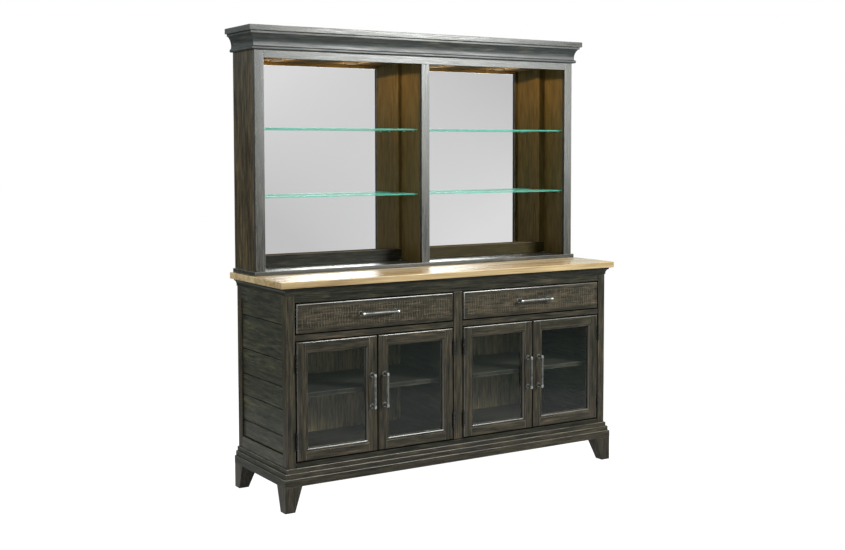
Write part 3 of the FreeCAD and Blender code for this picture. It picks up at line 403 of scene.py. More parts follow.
# %% Boards
def board(x, depth, z, along="x", easing=1.2, rounds=2, eased=None, shape=None):
    """One board: a cube at its size and place, shaped, with its edges eased."""
    low, high = place(min(x), max(depth), min(z)), place(max(x), min(depth), max(z))
    bpy.ops.object.select_all(action="DESELECT")
    bpy.ops.mesh.primitive_cube_add(size=1, location=(low + high) / 2)
    thing = bpy.context.object
    thing.scale = high - low
    bpy.ops.object.transform_apply(location=True, rotation=True, scale=True)
    with editing(thing, "EDGE"):
        if shape:
            shape(thing)
        if easing:
            pick(thing, "edges", eased or (lambda edge: True))
            bpy.ops.mesh.bevel(offset=easing * MM, segments=rounds, affect="EDGES")
    grow_grain(thing, along, low, high)
    return thing


def sided(x):
    """The same span on the right and on the left."""
    return (tuple(x), tuple(-value for value in x))


def gather(name, things, body, slot, finish, *replaced, angle=40):
    """Joins boards into one finished piece that takes over from its solids."""
    only(things[0])
    for thing in things:
        thing.select_set(True)
    if len(things) > 1:
        bpy.ops.object.join()
    piece = bpy.context.object
    piece.name = piece.data.name = name
    bpy.ops.object.shade_smooth_by_angle(angle=math.radians(angle))
    normals = piece.modifiers.new("normals", "WEIGHTED_NORMAL")
    normals.keep_sharp = True
    bpy.ops.object.modifier_apply(modifier=normals.name)
    piece.data.materials.clear()
    piece.data.materials.append(finish.material)
    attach(piece, body)
    if replaced:
        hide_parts(*replaced)
    size = [round(value / MM) for value in piece.dimensions]
    print(name, size, "mm,", len(piece.data.polygons), "faces")
    return piece


def second_finish(piece, finish, test):
    """Gives some faces of a piece another finish, chosen by their middle and normal."""
    piece.data.materials.append(finish.material)
    for face in piece.data.polygons:
        if test(face.center, face.normal):
            face.material_index = len(piece.data.materials) - 1


def twin(thing, matrix):
    """A copy with its own mesh, moved in its mesh."""
    copy = thing.copy()
    copy.data = thing.data.copy()
    bpy.context.scene.collection.objects.link(copy)
    copy.data.transform(matrix)
    if matrix.determinant() < 0:
        copy.data.flip_normals()
    return copy


MERGE = MM / 50


def turned(rings, at, axis, steps=24):
    """A turned piece: an outline of radius and height, spun round an axis through a point."""
    axis = Vector(axis)
    out = Vector((0, 0, 1)) if abs(axis.z) < 0.5 else Vector((1, 0, 0))
    bpy.ops.object.select_all(action="DESELECT")
    bpy.ops.mesh.primitive_plane_add(size=MM, location=(0, 0, 0))
    thing = bpy.context.object
    with editing(thing, "VERT"):
        bpy.ops.mesh.select_all(action="SELECT")
        bpy.ops.mesh.merge(type="CENTER")
        points = [at + out * radius * MM + axis * height * MM for radius, height in rings]
        shift(points[0])
        for before, after in zip(points[:-1], points[1:]):
            bpy.ops.mesh.extrude_region_move(TRANSFORM_OT_translate={"value": after - before})
        bpy.ops.mesh.select_all(action="SELECT")
        bpy.ops.mesh.spin(steps=steps, angle=math.tau, center=at, axis=axis)
        bpy.ops.mesh.select_all(action="SELECT")
        bpy.ops.mesh.remove_doubles(threshold=MERGE)
        bpy.ops.mesh.normals_make_consistent(inside=False)
    return thing

# %% [markdown]
# Stained wood. The real finish is a charcoal brown stain on rough pine, sanded through along the
# edges and rubbed with a satin lacquer. It could be painted on, but a pattern made of noise
# suits any board. Four noises stretched along the grain make it: fine fibres, wider streaks,
# blotches, and slow bands. A fifth breaks up the wear that rim() finds on each board's edges.
# The drawer fronts are also rough sawn, with rows of short saw marks that stop at a plain border.

# %% Stained wood
# How often each noise repeats along and across the grain, per metre.
FIBRES, STREAKS, BANDS, BLOTCHES = (14, 520, 520), (7, 210, 210), (3, 20, 20), (11, 85, 85)
KERFS = 520
SAW_MARK = (0.14, 0.108, 0.072)
BORDER = (0.012, 0.024)
WORN_WIDTH = 0.0032


def saw_marks(finish, grain):
    """Saw marks from 0 to 1, and their height."""
    along, _, _ = finish.split(grain)
    wander = finish.noise(grain.scaled(14, 30, 30), detail=2)
    wave = along * KERFS + wander * 9
    broken = finish.noise(grain.scaled(90, 40, 40), detail=2).step(0.35, 0.6)
    kerf = wave.maths("SINE", wave).step(0.1, 1) * broken
    rows = finish.noise(grain.scaled(16, 300, 300), detail=2).step(0.5, 0.7)
    patch = finish.noise(grain.scaled(12, 26, 26), detail=3).step(0.24, 0.5)
    plain, sawn = BORDER
    inside = 1 - rim(finish, sawn, plain)
    return (kerf * 0.75 + rows * 0.8) * patch * inside, (1 - kerf) * inside


def stained(name, tones, rubbed, shine=(0.26, 0.37), relief=0.00005, sawn=False, sheen=0.6,
            gain=1.9):
    """Stained wood. Without a rubbed colour it follows the object in place of each board."""
    finish = Finish(name, Specular_IOR_Level=sheen, Coat_Roughness=0.24)
    grain = finish.attribute("grain") if rubbed else finish.lies()
    fibre = finish.noise(grain.scaled(*FIBRES), roughness=0.6)
    streak = finish.noise(grain.scaled(*STREAKS), detail=4, roughness=0.65, distortion=0.2)
    band = finish.noise(grain.scaled(*BANDS), distortion=0.4)
    blotch = finish.noise(grain.scaled(*BLOTCHES), roughness=0.6, distortion=0.3)
    tone = (streak * 0.5 + fibre * 0.45 + blotch * 0.6 + band * 0.35 - 0.95) * gain + 0.5
    colour = finish.ramp(tone, tones)
    height = fibre * 0.5 + streak
    if sawn:
        marks, depth = saw_marks(finish, grain)
        colour = finish.mix(marks * 0.85, colour, SAW_MARK)
        height = fibre * 0.3 + depth
    if rubbed:
        # Along a board's edges this is wear; in the arris and step stains the paler colour is a
        # painted highlight.
        ragged = finish.noise(grain.scaled(22, 60, 60)).step(0.3, 0.62)
        colour = finish.mix(rim(finish, WORN_WIDTH) * ragged * 0.7, colour, rubbed)
    finish.set("Base Color", colour)
    finish.set("Roughness", streak.step(0.3, 0.7, *shine))
    finish.relief(height, relief)
    return finish

# %% [markdown]
# Which stain goes where. The photograph shows the same stain lit and worn in many ways, and each
# kind of place gets its own tones, from the darkest to the lightest: the hutch's frame, the case
# and its doors, the crown, the planks of the sides, the hutch's browner sides and parts in the
# shade, whose tones paint that shade. Two more paint a highlight with a paler stain, on the
# skirting's upward steps and on the rounded arrises of doors and drawers that face the light.
# Faces and arrises beside a gap get a black, which paints the shade in the gap.

# %% Dark stains
DARK_TONES = ((0.1, (0.005, 0.005, 0.004)), (0.38, (0.013, 0.013, 0.010)),
              (0.58, (0.026, 0.025, 0.019)), (0.8, (0.056, 0.047, 0.029)),
              (1.0, (0.12, 0.1, 0.066)))
CASE_TONES = ((0.1, (0.008, 0.008, 0.006)), (0.38, (0.024, 0.022, 0.015)),
              (0.58, (0.043, 0.037, 0.025)), (0.8, (0.078, 0.062, 0.038)),
              (1.0, (0.14, 0.11, 0.07)))
SHADY_TONES = ((0.1, (0.005, 0.005, 0.004)), (0.45, (0.020, 0.020, 0.014)),
               (0.7, (0.040, 0.037, 0.025)), (1.0, (0.09, 0.075, 0.045)))
SIDE_TONES = ((0.1, (0.012, 0.009, 0.005)), (0.4, (0.040, 0.030, 0.016)),
              (0.6, (0.082, 0.062, 0.032)), (0.8, (0.14, 0.10, 0.048)),
              (1.0, (0.22, 0.165, 0.09)))
PLANK_TONES = ((0.1, (0.009, 0.010, 0.007)), (0.4, (0.027, 0.029, 0.019)),
               (0.6, (0.051, 0.050, 0.032)), (0.8, (0.092, 0.082, 0.048)),
               (1.0, (0.18, 0.155, 0.1)))
STEP_HIGHLIGHT_TONES = ((0.1, (0.030, 0.028, 0.020)), (0.5, (0.10, 0.09, 0.062)), (0.9, (0.26, 0.23, 0.17)))
CROWN_TONES = ((0.1, (0.005, 0.006, 0.006)), (0.38, (0.013, 0.016, 0.016)),
               (0.58, (0.026, 0.030, 0.029)), (0.8, (0.054, 0.052, 0.042)),
               (1.0, (0.12, 0.105, 0.08)))
# Near black tones for the painted shade in gaps.
GAP_SHADE_TONES = ((0.1, (0.002, 0.002, 0.002)), (0.9, (0.005, 0.005, 0.004)))
# What each kind of wood is rubbed down to along its edges. For the arrises and steps that face
# the light it is a paler colour that paints a highlight.
RUBBED_DARK, RUBBED_CASE = (0.2, 0.185, 0.15), (0.11, 0.088, 0.06)
ARRIS_HIGHLIGHT = (0.2, 0.175, 0.13)
RUBBED_SHADY, RUBBED_SIDE, RUBBED_PLANK = (0.13, 0.12, 0.1), (0.2, 0.16, 0.11), (0.16, 0.15, 0.12)
ROUGH_GRAIN, SAWN_GRAIN = 0.00012, 0.0003

dark_wood = stained("dark_wood_finish", DARK_TONES, RUBBED_DARK, shine=(0.22, 0.42),
                    relief=ROUGH_GRAIN, gain=1.8)
case_wood = stained("case_finish", CASE_TONES, RUBBED_CASE, sheen=0.2)
# The step stain paints a highlight with its paler tones, for the skirting's upward steps.
step_highlight_wood = stained("rub_finish", STEP_HIGHLIGHT_TONES, ARRIS_HIGHLIGHT, gain=1.8)
# The arris stain paints a highlight: more sheen and a paler rubbed colour, for the rounded arrises
# that face the light.
arris_highlight_wood = stained("arris_finish", CASE_TONES, ARRIS_HIGHLIGHT, sheen=0.9, gain=1.4)
arris_highlight_wood.set("Coat Weight", 0.45)
crown_wood = stained("crown_finish", CROWN_TONES, RUBBED_DARK, shine=(0.32, 0.52),
                     relief=ROUGH_GRAIN, gain=2.2)
shady_wood = stained("shady_wood_finish", SHADY_TONES, RUBBED_SHADY, sheen=0.15)
side_wood = stained("side_finish", SIDE_TONES, RUBBED_SIDE, sheen=0.12)
plank_wood = stained("plank_finish", PLANK_TONES, RUBBED_PLANK, sheen=0.3, gain=1.6)
sawn_wood = stained("sawn_finish", CASE_TONES, RUBBED_CASE, sawn=True, relief=SAWN_GRAIN,
                    sheen=0.2, gain=1.8)
# A near black for faces beside gaps, which paints the shade there.
gap_shade_wood = stained("gap_finish", GAP_SHADE_TONES, None, sheen=0.0)
print("nine dark stains and a black for the gaps")

# %% [markdown]
# The other woods. Inside the hutch the stain is a warmer brown without the grey rub, with a
# darker brown that paints shade on the strip below the right mirror, and matt on the ceiling.
# The cupboards are dark inside, with paler boards at the back, and the drawer boxes are pale and
# plain. Boards that only show from behind or with a drawer out keep their solids, and their
# grain follows the object.

# %% Brown and pale woods
BROWN_TONES = ((0.1, (0.028, 0.018, 0.004)), (0.4, (0.072, 0.050, 0.014)),
               (0.6, (0.12, 0.084, 0.027)), (0.8, (0.175, 0.122, 0.045)),
               (1.0, (0.25, 0.18, 0.08)))
INSIDE_TONES = ((0.1, (0.010, 0.010, 0.007)), (0.4, (0.024, 0.024, 0.017)),
                (0.6, (0.040, 0.039, 0.028)), (0.9, (0.075, 0.070, 0.05)))
BACK_TONES = ((0.1, (0.07, 0.058, 0.023)), (0.4, (0.20, 0.165, 0.07)),
              (0.6, (0.35, 0.28, 0.125)), (0.9, (0.52, 0.40, 0.19)))
# Darker brown tones that paint shade on the strip below the right mirror.
STRIP_SHADE_TONES = ((0.1, (0.014, 0.010, 0.003)), (0.5, (0.038, 0.029, 0.009)),
               (0.9, (0.08, 0.06, 0.02)))
PALE_TONES = ((0.1, (0.36, 0.24, 0.13)), (0.5, (0.56, 0.41, 0.25)), (0.9, (0.70, 0.55, 0.37)))
MATT_TONES = ((0.1, (0.03, 0.023, 0.013)), (0.5, (0.095, 0.073, 0.046)),
              (0.9, (0.19, 0.148, 0.1)))
RUBBED_BROWN, DULL = (0.2, 0.14, 0.06), (0.4, 0.55)

brown_wood = stained("hutch_finish", BROWN_TONES, RUBBED_BROWN, DULL, sheen=0.15, gain=0.9)
strip_shade_wood = stained("strip_finish", STRIP_SHADE_TONES, RUBBED_BROWN, DULL, sheen=0.15, gain=1.2)
matt_brown = stained("matt_brown_finish", MATT_TONES, None, sheen=0.0)
inside_wood = stained("inside_finish", INSIDE_TONES, (0.12, 0.095, 0.06), DULL)
back_wood = stained("back_finish", BACK_TONES, (0.03, 0.022, 0.012), (0.45, 0.6))
pale_wood = stained("box_finish", PALE_TONES, (0.62, 0.48, 0.31), (0.38, 0.5))
inside_plain = stained("inside_plain", INSIDE_TONES, None, DULL)
back_plain = stained("back_plain", INSIDE_TONES, None, (0.5, 0.6))
pale_plain = stained("block_plain", PALE_TONES, None, (0.4, 0.5))
print("nine brown and pale woods")

# %% [markdown]
# The countertop's finish. It is a tan lacquered top glued up from staves that run its length, so
# its tone changes from stave to stave, with a thin dark glue line between them.

# %% Countertop's finish
STAVES = 10.5
TAN_TONES = ((0.25, (0.16, 0.10, 0.04)), (0.42, (0.36, 0.245, 0.115)),
             (0.55, (0.61, 0.45, 0.235)), (0.75, (0.77, 0.60, 0.36)))
GLUE, PALE_EDGE = (0.16, 0.09, 0.035), (0.78, 0.62, 0.4)


def counter_finish():
    """Tan staves under a satin lacquer."""
    finish = Finish("counter_finish", Specular_IOR_Level=0.5)
    grain = finish.attribute("grain")
    _, across, _ = finish.split(finish.attribute("spot"))
    staves = across * STAVES
    tint = finish.add("ShaderNodeTexWhiteNoise", {"noise_dimensions": "1D"},
                      {"W": staves.maths("FLOOR", staves)})
    fibre = finish.noise(grain.scaled(5, 210, 210), detail=4, roughness=0.6)
    streak = finish.noise(grain.scaled(1.3, 30, 30), detail=4, distortion=0.9)
    tone = streak * 0.42 + fibre * 0.3 + tint * 0.12 + 0.095
    seam = staves.maths("FRACT", staves).step(0.0, 0.02, 1.0, 0.0)
    worn = rim(finish, 0.004) * finish.noise(grain.scaled(20, 50, 50)).step(0.4, 0.7)
    colour = finish.mix(seam * 0.5, finish.ramp(tone, TAN_TONES), GLUE)
    finish.set("Base Color", finish.mix(worn * 0.5, colour, PALE_EDGE))
    finish.set("Roughness", fibre.step(0.2, 0.8, 0.22, 0.27))
    finish.relief(fibre, 0.00002)
    return finish


top_wood = counter_finish()
print("staves of", round(1 / STAVES / MM), "mm")

# %% [markdown]
# Glass. A thin pane hardly bends light, it lets most of it through and mirrors a little more at
# a glancing angle. So each door pane is a mirror whose opacity is that share, from a Fresnel
# node. The shelves are pale green and clearer from above, and deep green at their polished
# edges. Flats and edges also glow faintly green: a painted glow, in the emission, for the light
# that runs along inside them and comes out.

# %% Glass
GLASS_IOR = 1.5
PANE_TINT, PANE_SHARE, PANE_MOST = (0.86, 0.93, 0.92), 0.85, 0.95
EDGE_DEEP, EDGE_PALE, FLAT_GREEN = (0.02, 0.2, 0.15), (0.15, 0.55, 0.42), (0.30, 0.72, 0.60)
# Emission colours for the painted glow of the shelves.
FLAT_GLOW, EDGE_GLOW = (0.03, 0.12, 0.095), (0.015, 0.11, 0.08)


def pane_finish(name):
    """Clear glass that mirrors more at a glance."""
    finish = Finish(name, Metallic=1.0, Roughness=0.1, Base_Color=PANE_TINT)
    glance = finish.add("ShaderNodeFresnel", {}, {"IOR": GLASS_IOR})
    outside = 1 - finish.add("ShaderNodeNewGeometry", {}, output="Backfacing")
    finish.set("Alpha", (glance * PANE_SHARE).least(PANE_MOST) * outside)
    return finish


def shelf_finish(name):
    """Glass shelves: pale green flats and deep green polished edges."""
    finish = Finish(name, Roughness=0.12, Specular_IOR_Level=0.12, Emission_Strength=1.0)
    _, _, up = finish.split(finish.add("ShaderNodeNewGeometry", {}, output="Normal"))
    side = up.maths("ABSOLUTE", up).step(0.5, 0.9, 1.0, 0.0)
    band = finish.noise(finish.lies().scaled(40, 60, 600), detail=2).step(0.3, 0.7)
    edges = finish.mix(band, EDGE_DEEP, EDGE_PALE)
    finish.set("Base Color", finish.mix(side, FLAT_GREEN, edges))
    # A painted glow: faint green emission on the flats and edges, for light carried inside the
    # glass.
    finish.set("Emission Color", finish.mix(side, FLAT_GLOW, EDGE_GLOW))
    glance = finish.add("ShaderNodeLayerWeight", {}, {"Blend": 0.5}, "Facing")
    finish.set("Alpha", (glance.step(0.55, 0.95, 0.22, 0.5) + side * 0.4).least(0.9))
    return finish


door_glass = pane_finish("door_glass_finish")
shelf_glass = shelf_finish("shelf_glass_finish")
print("two kinds of glass")

# %% [markdown]
# Metals and the mirror. Cast and plated metal is never even: a fine noise turns it from a dark
# patina to a paler tone. The pulls are antique pewter, paler at the ends of their bars, partly
# rubbed bright and partly a painted highlight, and the hinges are dark bronze.

# %% Mirror and metals
def metal_finish(name, dark, pale, shine, worn=0.5, metallic=1.0, grains=90):
    """Metal with darker patina in patches."""
    finish = Finish(name, Metallic=metallic)
    patina = finish.noise(finish.lies(), detail=5, roughness=0.65, scale=grains)
    finish.set("Base Color", finish.mix(patina.step(0.3, 0.7) * worn, dark, pale))
    finish.set("Roughness", patina.step(0.2, 0.8, *shine))
    finish.relief(patina, 0.00005)
    return finish


mirror = metal_finish("mirror_finish", grey(0.93), grey(0.95), (0.01, 0.012), grains=3)
pewter = metal_finish("pewter_finish", (0.085, 0.09, 0.085), (0.27, 0.28, 0.265), (0.42, 0.54),
                      worn=0.8, metallic=0.8)
# Paler pewter for collars and tips: partly wear, partly a painted highlight.
rubbed_pewter = metal_finish("rubbed_pewter", (0.36, 0.36, 0.35), (0.62, 0.62, 0.61),
                             (0.28, 0.36), worn=0.8)
bronze = metal_finish("hinge_finish", (0.028, 0.029, 0.03), (0.15, 0.152, 0.155), (0.22, 0.32),
                      metallic=0.9, grains=240)
zinc = metal_finish("zinc_finish", (0.5, 0.5, 0.51), (0.66, 0.66, 0.67), (0.25, 0.38))
plastic = metal_finish("catch_finish", (0.05, 0.035, 0.025), (0.08, 0.06, 0.045), (0.4, 0.5),
                       metallic=0.0, grains=300)
housing = metal_finish("housing_finish", (0.40, 0.36, 0.31), (0.52, 0.47, 0.41), (0.3, 0.4),
                       metallic=0.8)
print("mirror, pewter, bronze, zinc, plastic and the lights' housings")

# %% Lit lens
AMBER, PALE_AMBER = (1.0, 0.62, 0.3), (1.0, 0.72, 0.42)
glow = Finish("lens_finish", Roughness=0.5, Base_Color=(0.3, 0.2, 0.12), Emission_Strength=0.3,
              Specular_IOR_Level=0.1)
glow.set("Emission Color", glow.mix(glow.noise(glow.lies(), scale=220), AMBER, PALE_AMBER))

# %% [markdown]
# The countertop. One thick board with softly rounded front and sides. Its staves and their
# glue lines are in the finish, because they are flush and can't be felt on the real one.

# %% Countertop
COUNTER, COUNTER_DEPTH = 838, 500
CASE_TOP, COUNTER_TOP = 887, 914


def not_behind(edge):
    """An edge away from the flat back, which stays crisp against the wall."""
    return not all(v.co.y > BACK - MM for v in edge.verts)


gather("counter_top", [board((-COUNTER, COUNTER), (0, COUNTER_DEPTH), (CASE_TOP, COUNTER_TOP),
                             easing=4, rounds=4, eased=not_behind)],
       "cabinet", "top_wood", top_wood, "countertop")

# %% [markdown]
# Mouldings. The real ones are run on a shaper and mitred at the corners. Their solids already
# have the true profile, so a copy of each is merged, the hidden mitre faces inside are taken
# out, and every crisp arris is softened, which is what sanding does before the stain. The grain
# turns with each length, so it is stored per face. The bed moulding and the skirting take the
# shade stain as painted shade, the skirting's front keeps the case stain, and its upward steps
# get a paler stain that paints a highlight.

# %% Mouldings from their solids
CRISP_ANGLE = math.radians(28)
SHORTEST_ARRIS = 0.01
STRAY = MM / 200


def run_moulding(node, softening, finish):
    """A moulding copied from its solids, with its arrises softened."""
    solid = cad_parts[node]
    thing = solid.copy()
    thing.data = solid.data.copy()
    thing.parent = None
    for key in list(thing.keys()):
        del thing[key]
    bpy.context.scene.collection.objects.link(thing)
    with editing(thing):
        bpy.ops.mesh.customdata_custom_splitnormals_clear()
        bpy.ops.mesh.select_all(action="SELECT")
        bpy.ops.mesh.remove_doubles(threshold=MERGE)
        pick(thing, "faces", lambda face: abs(abs(face.normal.x) - abs(face.normal.y)) < 0.02
             and abs(face.normal.z) < 0.02)
        bpy.ops.mesh.delete(type="FACE")
        bpy.ops.mesh.select_all(action="SELECT")
        bpy.ops.mesh.dissolve_limited(angle_limit=math.radians(2))
        bpy.ops.mesh.select_mode(type="EDGE")
        pick(thing, "edges", lambda edge: len(edge.link_faces) == 2
             and edge.calc_face_angle(0) > CRISP_ANGLE and edge.calc_length() > SHORTEST_ARRIS)
        bpy.ops.mesh.bevel(offset=softening * MM, segments=2, affect="EDGES", clamp_overlap=True)
        bpy.ops.mesh.select_all(action="SELECT")
        bpy.ops.mesh.remove_doubles(threshold=STRAY)
        bpy.ops.mesh.dissolve_degenerate(threshold=STRAY)
    mesh = thing.data
    places = corner_places(mesh)
    lows, highs = places.min(0), places.max(0)
    spots = np.zeros((len(mesh.loops), VECTOR_LENGTH))
    for face in mesh.polygons:
        along = "y" if abs(face.normal.x) > abs(face.normal.y) + 0.05 else "x"
        if abs(face.normal.z) > 0.9:
            at_side = abs(face.center.x) > highs[0] - 0.03
            along = "y" if at_side or face.center.y > (lows[1] + highs[1]) / 2 else "x"
        for corner in face.loop_indices:
            spots[corner] = places[corner][list(GRAIN_ORDERS[along])]
    remember(mesh, "grain", spots + [luck.uniform(-FAR, FAR) for _ in range(VECTOR_LENGTH)])
    remember(mesh, "spot", np.zeros_like(spots))
    remember(mesh, "half", np.full_like(spots, FAR))
    return gather(node + "_run", [thing], "cabinet", "dark_wood", finish, node)


# The bed moulding and the skirting take the shade stain: painted shade.
run_moulding("bed_moulding", 0.7, shady_wood)
skirting = run_moulding("base_moulding", 1.0, shady_wood)
second_finish(skirting, case_wood, lambda at, normal: normal.y < -0.9)
# The skirting's upward steps get a paler stain that paints a highlight.
second_finish(skirting, step_highlight_wood, lambda at, normal: 0.3 < normal.z < 0.95)
run_moulding("crown_moulding", 0.8, crown_wood)

# %% [markdown]
# The base case. Square posts at the corners, rails between them, and rough planks let in
# between with small V grooves. The front frame is four rails and a centre stile. Each of them
# is its own board, because its grain has to run its own way. Faces and arrises beside the doors
# and drawers get the black, a painted shade that draws the thin dark gap round each of them.

# %% Posts and rails
CASE, CASE_DEPTH, POST = 806, 471, 40
POST_INNER = CASE - POST
FOOT_TOP = 102
SLANT = 0.3

posts = [board(x, depth, (FOOT_TOP, CASE_TOP), "z", 2.2) for x in sided((POST_INNER, CASE))
         for depth in ((0, POST), (CASE_DEPTH - POST, CASE_DEPTH))]
posts_piece = gather("posts", posts, "cabinet", "dark_wood", case_wood, "corner_posts")
# The posts' inner faces get the black: painted shade in the gaps beside the doors.
second_finish(posts_piece, gap_shade_wood, lambda at, normal: abs(at.x) < (POST_INNER + 2) * MM
              and abs(normal.x) > SLANT)

SIDE_DEPTH = (POST, CASE_DEPTH - POST)
PLANK_LOW, PLANK_HIGH = 220, 808
rails = [board(x, SIDE_DEPTH, z, "y", 1.0) for x in sided((CASE - 20, CASE))
         for z in ((FOOT_TOP, PLANK_LOW), (PLANK_HIGH, CASE_TOP))]
gather("side_rail_boards", rails, "cabinet", "dark_wood", plank_wood, "side_rails")

# %% Front frame
FRAME_DEPTH = (CASE_DEPTH - 22, CASE_DEPTH)
STILE_EDGE = 24
LOW_RAIL_TOP, TOP_RAIL_LOW, MIDDLE_RAIL = 193, 825, (674, 701)

front = [board((-POST_INNER, POST_INNER), FRAME_DEPTH, z, easing=2)
         for z in ((TOP_RAIL_LOW, CASE_TOP), (FOOT_TOP, LOW_RAIL_TOP))]
front += [board(x, FRAME_DEPTH, MIDDLE_RAIL, easing=2) for x in sided((STILE_EDGE, POST_INNER))]
rails_piece = gather("front_rails", front, "cabinet", "dark_wood", case_wood, "face_rails")
# The low rail and the top rail under the countertop take the shade stain: painted shade.
second_finish(rails_piece, shady_wood, lambda at, normal: at.z < 0.2 or at.z > 0.822)
# The rails' faces above and below the doors and drawers get the black: painted shade in the gaps.
second_finish(rails_piece, gap_shade_wood, lambda at, normal: abs(normal.z) > SLANT)
middle = gather("front_stile", [board((-STILE_EDGE, STILE_EDGE), FRAME_DEPTH,
                                      (LOW_RAIL_TOP, TOP_RAIL_LOW), "z", 2)],
                "cabinet", "dark_wood", case_wood, "centre_stile")
# Its sides beside the doors get the black: painted shade in the gaps.
second_finish(middle, gap_shade_wood, lambda at, normal: abs(normal.x) > SLANT)

# %% Side planks
# Where the joints between the planks lie, as shares of the height. No two planks are alike.
JOINT_SHARES = (0, 0.122, 0.303, 0.457, 0.636, 0.878, 1)


GROOVE = 3
TOUCH = MM / 9


def grooved(thing):
    """Chamfers the long outer edges of a plank."""
    outer = max(abs(v.co.x) for v in thing.data.vertices)
    pick(thing, "edges", lambda edge: all(abs(abs(v.co.x) - outer) < TOUCH for v in edge.verts)
         and abs(edge.verts[0].co.z - edge.verts[1].co.z) < TOUCH)
    bpy.ops.mesh.bevel(offset=GROOVE * MM, segments=1, affect="EDGES")


planks = []
heights = [PLANK_LOW + (PLANK_HIGH - PLANK_LOW) * share for share in JOINT_SHARES]
for x in sided((786, 798)):
    for low, high in zip(heights[:-1], heights[1:]):
        planks.append(board(x, SIDE_DEPTH, (low, high), "y", 0.5, 1, shape=grooved))
planks_piece = gather("side_plank_boards", planks, "cabinet", "dark_wood", plank_wood,
                      "side_planks")
# The grooves get painted shade: the black on faces that look down and the shade stain on faces
# that look up.
second_finish(planks_piece, gap_shade_wood, lambda at, normal: normal.z < -SLANT)
second_finish(planks_piece, shady_wood, lambda at, normal: normal.z > SLANT)

# %% [markdown]
# Feet. Square blocks, plumb on the outside and cut to a taper on their two inner faces.

# %% Feet
SKIRT, SKIRT_DEPTH = 825, 490
FOOT, TAPER = 76, 32


def tapered(side, front):
    """Pulls in the two inner faces of a foot towards the floor."""
    def shape(thing):
        inner_x = (SKIRT - FOOT) * MM * side
        inner_y = BACK - ((SKIRT_DEPTH - FOOT) if front else FOOT) * MM
        for axis, inner, outwards in ((0, inner_x, side), (1, inner_y, -1 if front else 1)):
            pick(thing, "verts", lambda v: v.co.z < MM and abs(v.co[axis] - inner) < MM)
            offset = [0, 0, 0]
            offset[axis] = TAPER * MM * outwards
            shift(offset)
    return shape


feet = []
for side in (1, -1):
    for front_foot in (True, False):
        depth = (SKIRT_DEPTH - FOOT, SKIRT_DEPTH) if front_foot else (0, FOOT)
        feet.append(board((side * (SKIRT - FOOT), side * SKIRT), depth, (0, FOOT_TOP), "z", 1.6,
                          shape=tapered(side, front_foot)))
gather("tapered_feet", feet, "cabinet", "dark_wood", case_wood, "feet")

# %% [markdown]
# Inside the cupboards. The back is boards with a small groove at each joint, a wooden shelf
# rests on pins in each bay, and a partition stands in the middle. All of it shows through the
# glass of the doors. Boards that are hidden or plain keep their solids and get a finish.

# %% Cupboard boards
BACK_BOARDS, BACK_THICK = 14, 8
WOODEN_SHELF = 437.2

span = 2 * POST_INNER / BACK_BOARDS
backs = [board((span * n - POST_INNER, span * (n + 1) - POST_INNER), (0, BACK_THICK),
               (172, CASE_TOP), "z", 1.8, 1) for n in range(BACK_BOARDS)]
backs_piece = gather("back_boards", backs, "cabinet", "back_panel", back_wood, "case_back")
second_finish(backs_piece, inside_wood, lambda at, normal: normal.y > 0.5)
shelves = [board(x, (42, 425), (WOODEN_SHELF, WOODEN_SHELF + 18), easing=1.0)
           for x in sided((12, 784))]
shelves_piece = gather("wooden_shelves", shelves, "cabinet", "inside_wood", inside_wood,
                       "cupboard_shelves")
# The shelves' front edges take the shade stain: painted shade.
second_finish(shelves_piece, shady_wood, lambda at, normal: normal.y < -0.5)
gather("middle_partition", [board((-10, 10), (BACK_THICK, FRAME_DEPTH[0]),
                                  (LOW_RAIL_TOP, CASE_TOP), "y", 0.5, 1)],
       "cabinet", "inside_wood", inside_wood, "centre_partition")

# %% Boards and metal that keep their solids
for node, finish in (("case_bottom", inside_plain), ("drawer_deck", inside_plain),
                     ("hutch_back", back_plain), ("runner_blocks", pale_plain),
                     ("runner_rails", zinc), ("door_catches", plastic)):
    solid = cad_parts[node]
    solid.data.materials.clear()
    solid.data.materials.append(finish.material)
    print(node, "keeps its solid")

# %% [markdown]
# The hutch. Two sides, a thick partition, a ceiling and a base board, with a face frame in
# front. Outside it is stained dark like the base; inside it is brown, so those faces get the
# brown finish.

# %% Hutch boards
HUTCH, HUTCH_INNER, HUTCH_MIDDLE = 814, 788, 20
HUTCH_FLOOR, HUTCH_CEILING, CAP_LOW, TOP = 931, 1812, 1905, 1928
HUTCH_BACK, HUTCH_FRAME = 4, (195, 215)

for side, name in ((1, "hutch_side_right"), (-1, "hutch_side_left")):
    panel = gather(name + "_board", [board((side * HUTCH_INNER, side * HUTCH),
                                           (0, HUTCH_FRAME[0]), (HUTCH_FLOOR, CAP_LOW), "z", 1.0)],
                   "cabinet", "dark_wood", side_wood, name)
    second_finish(panel, brown_wood, lambda at, normal: normal.x * side < -0.5)
inner_depth = (HUTCH_BACK, HUTCH_FRAME[0])
gather("hutch_middle_board", [board((-HUTCH_MIDDLE, HUTCH_MIDDLE), inner_depth,
                                    (HUTCH_FLOOR, HUTCH_CEILING), "z", 0.6)],
       "cabinet", "hutch_wood", brown_wood, "hutch_partition")
ceiling_board = gather("hutch_ceiling_board", [board((-HUTCH_INNER, HUTCH_INNER), inner_depth,
                                                     (HUTCH_CEILING, 1830), "x", 0.6)],
                       "cabinet", "hutch_wood", brown_wood, "hutch_top")
second_finish(ceiling_board, matt_brown, lambda at, normal: normal.z < -0.5)
gather("hutch_base_board", [board((-824, 824), (0, 225), (COUNTER_TOP, HUTCH_FLOOR), "x", 2.5, 3)],
       "cabinet", "dark_wood", dark_wood, "hutch_base")

# %% Hutch frame and cap
RAIL_LOW, STILE_INNER = 1799, 772
CAP, CAP_DEPTH = 849, 250

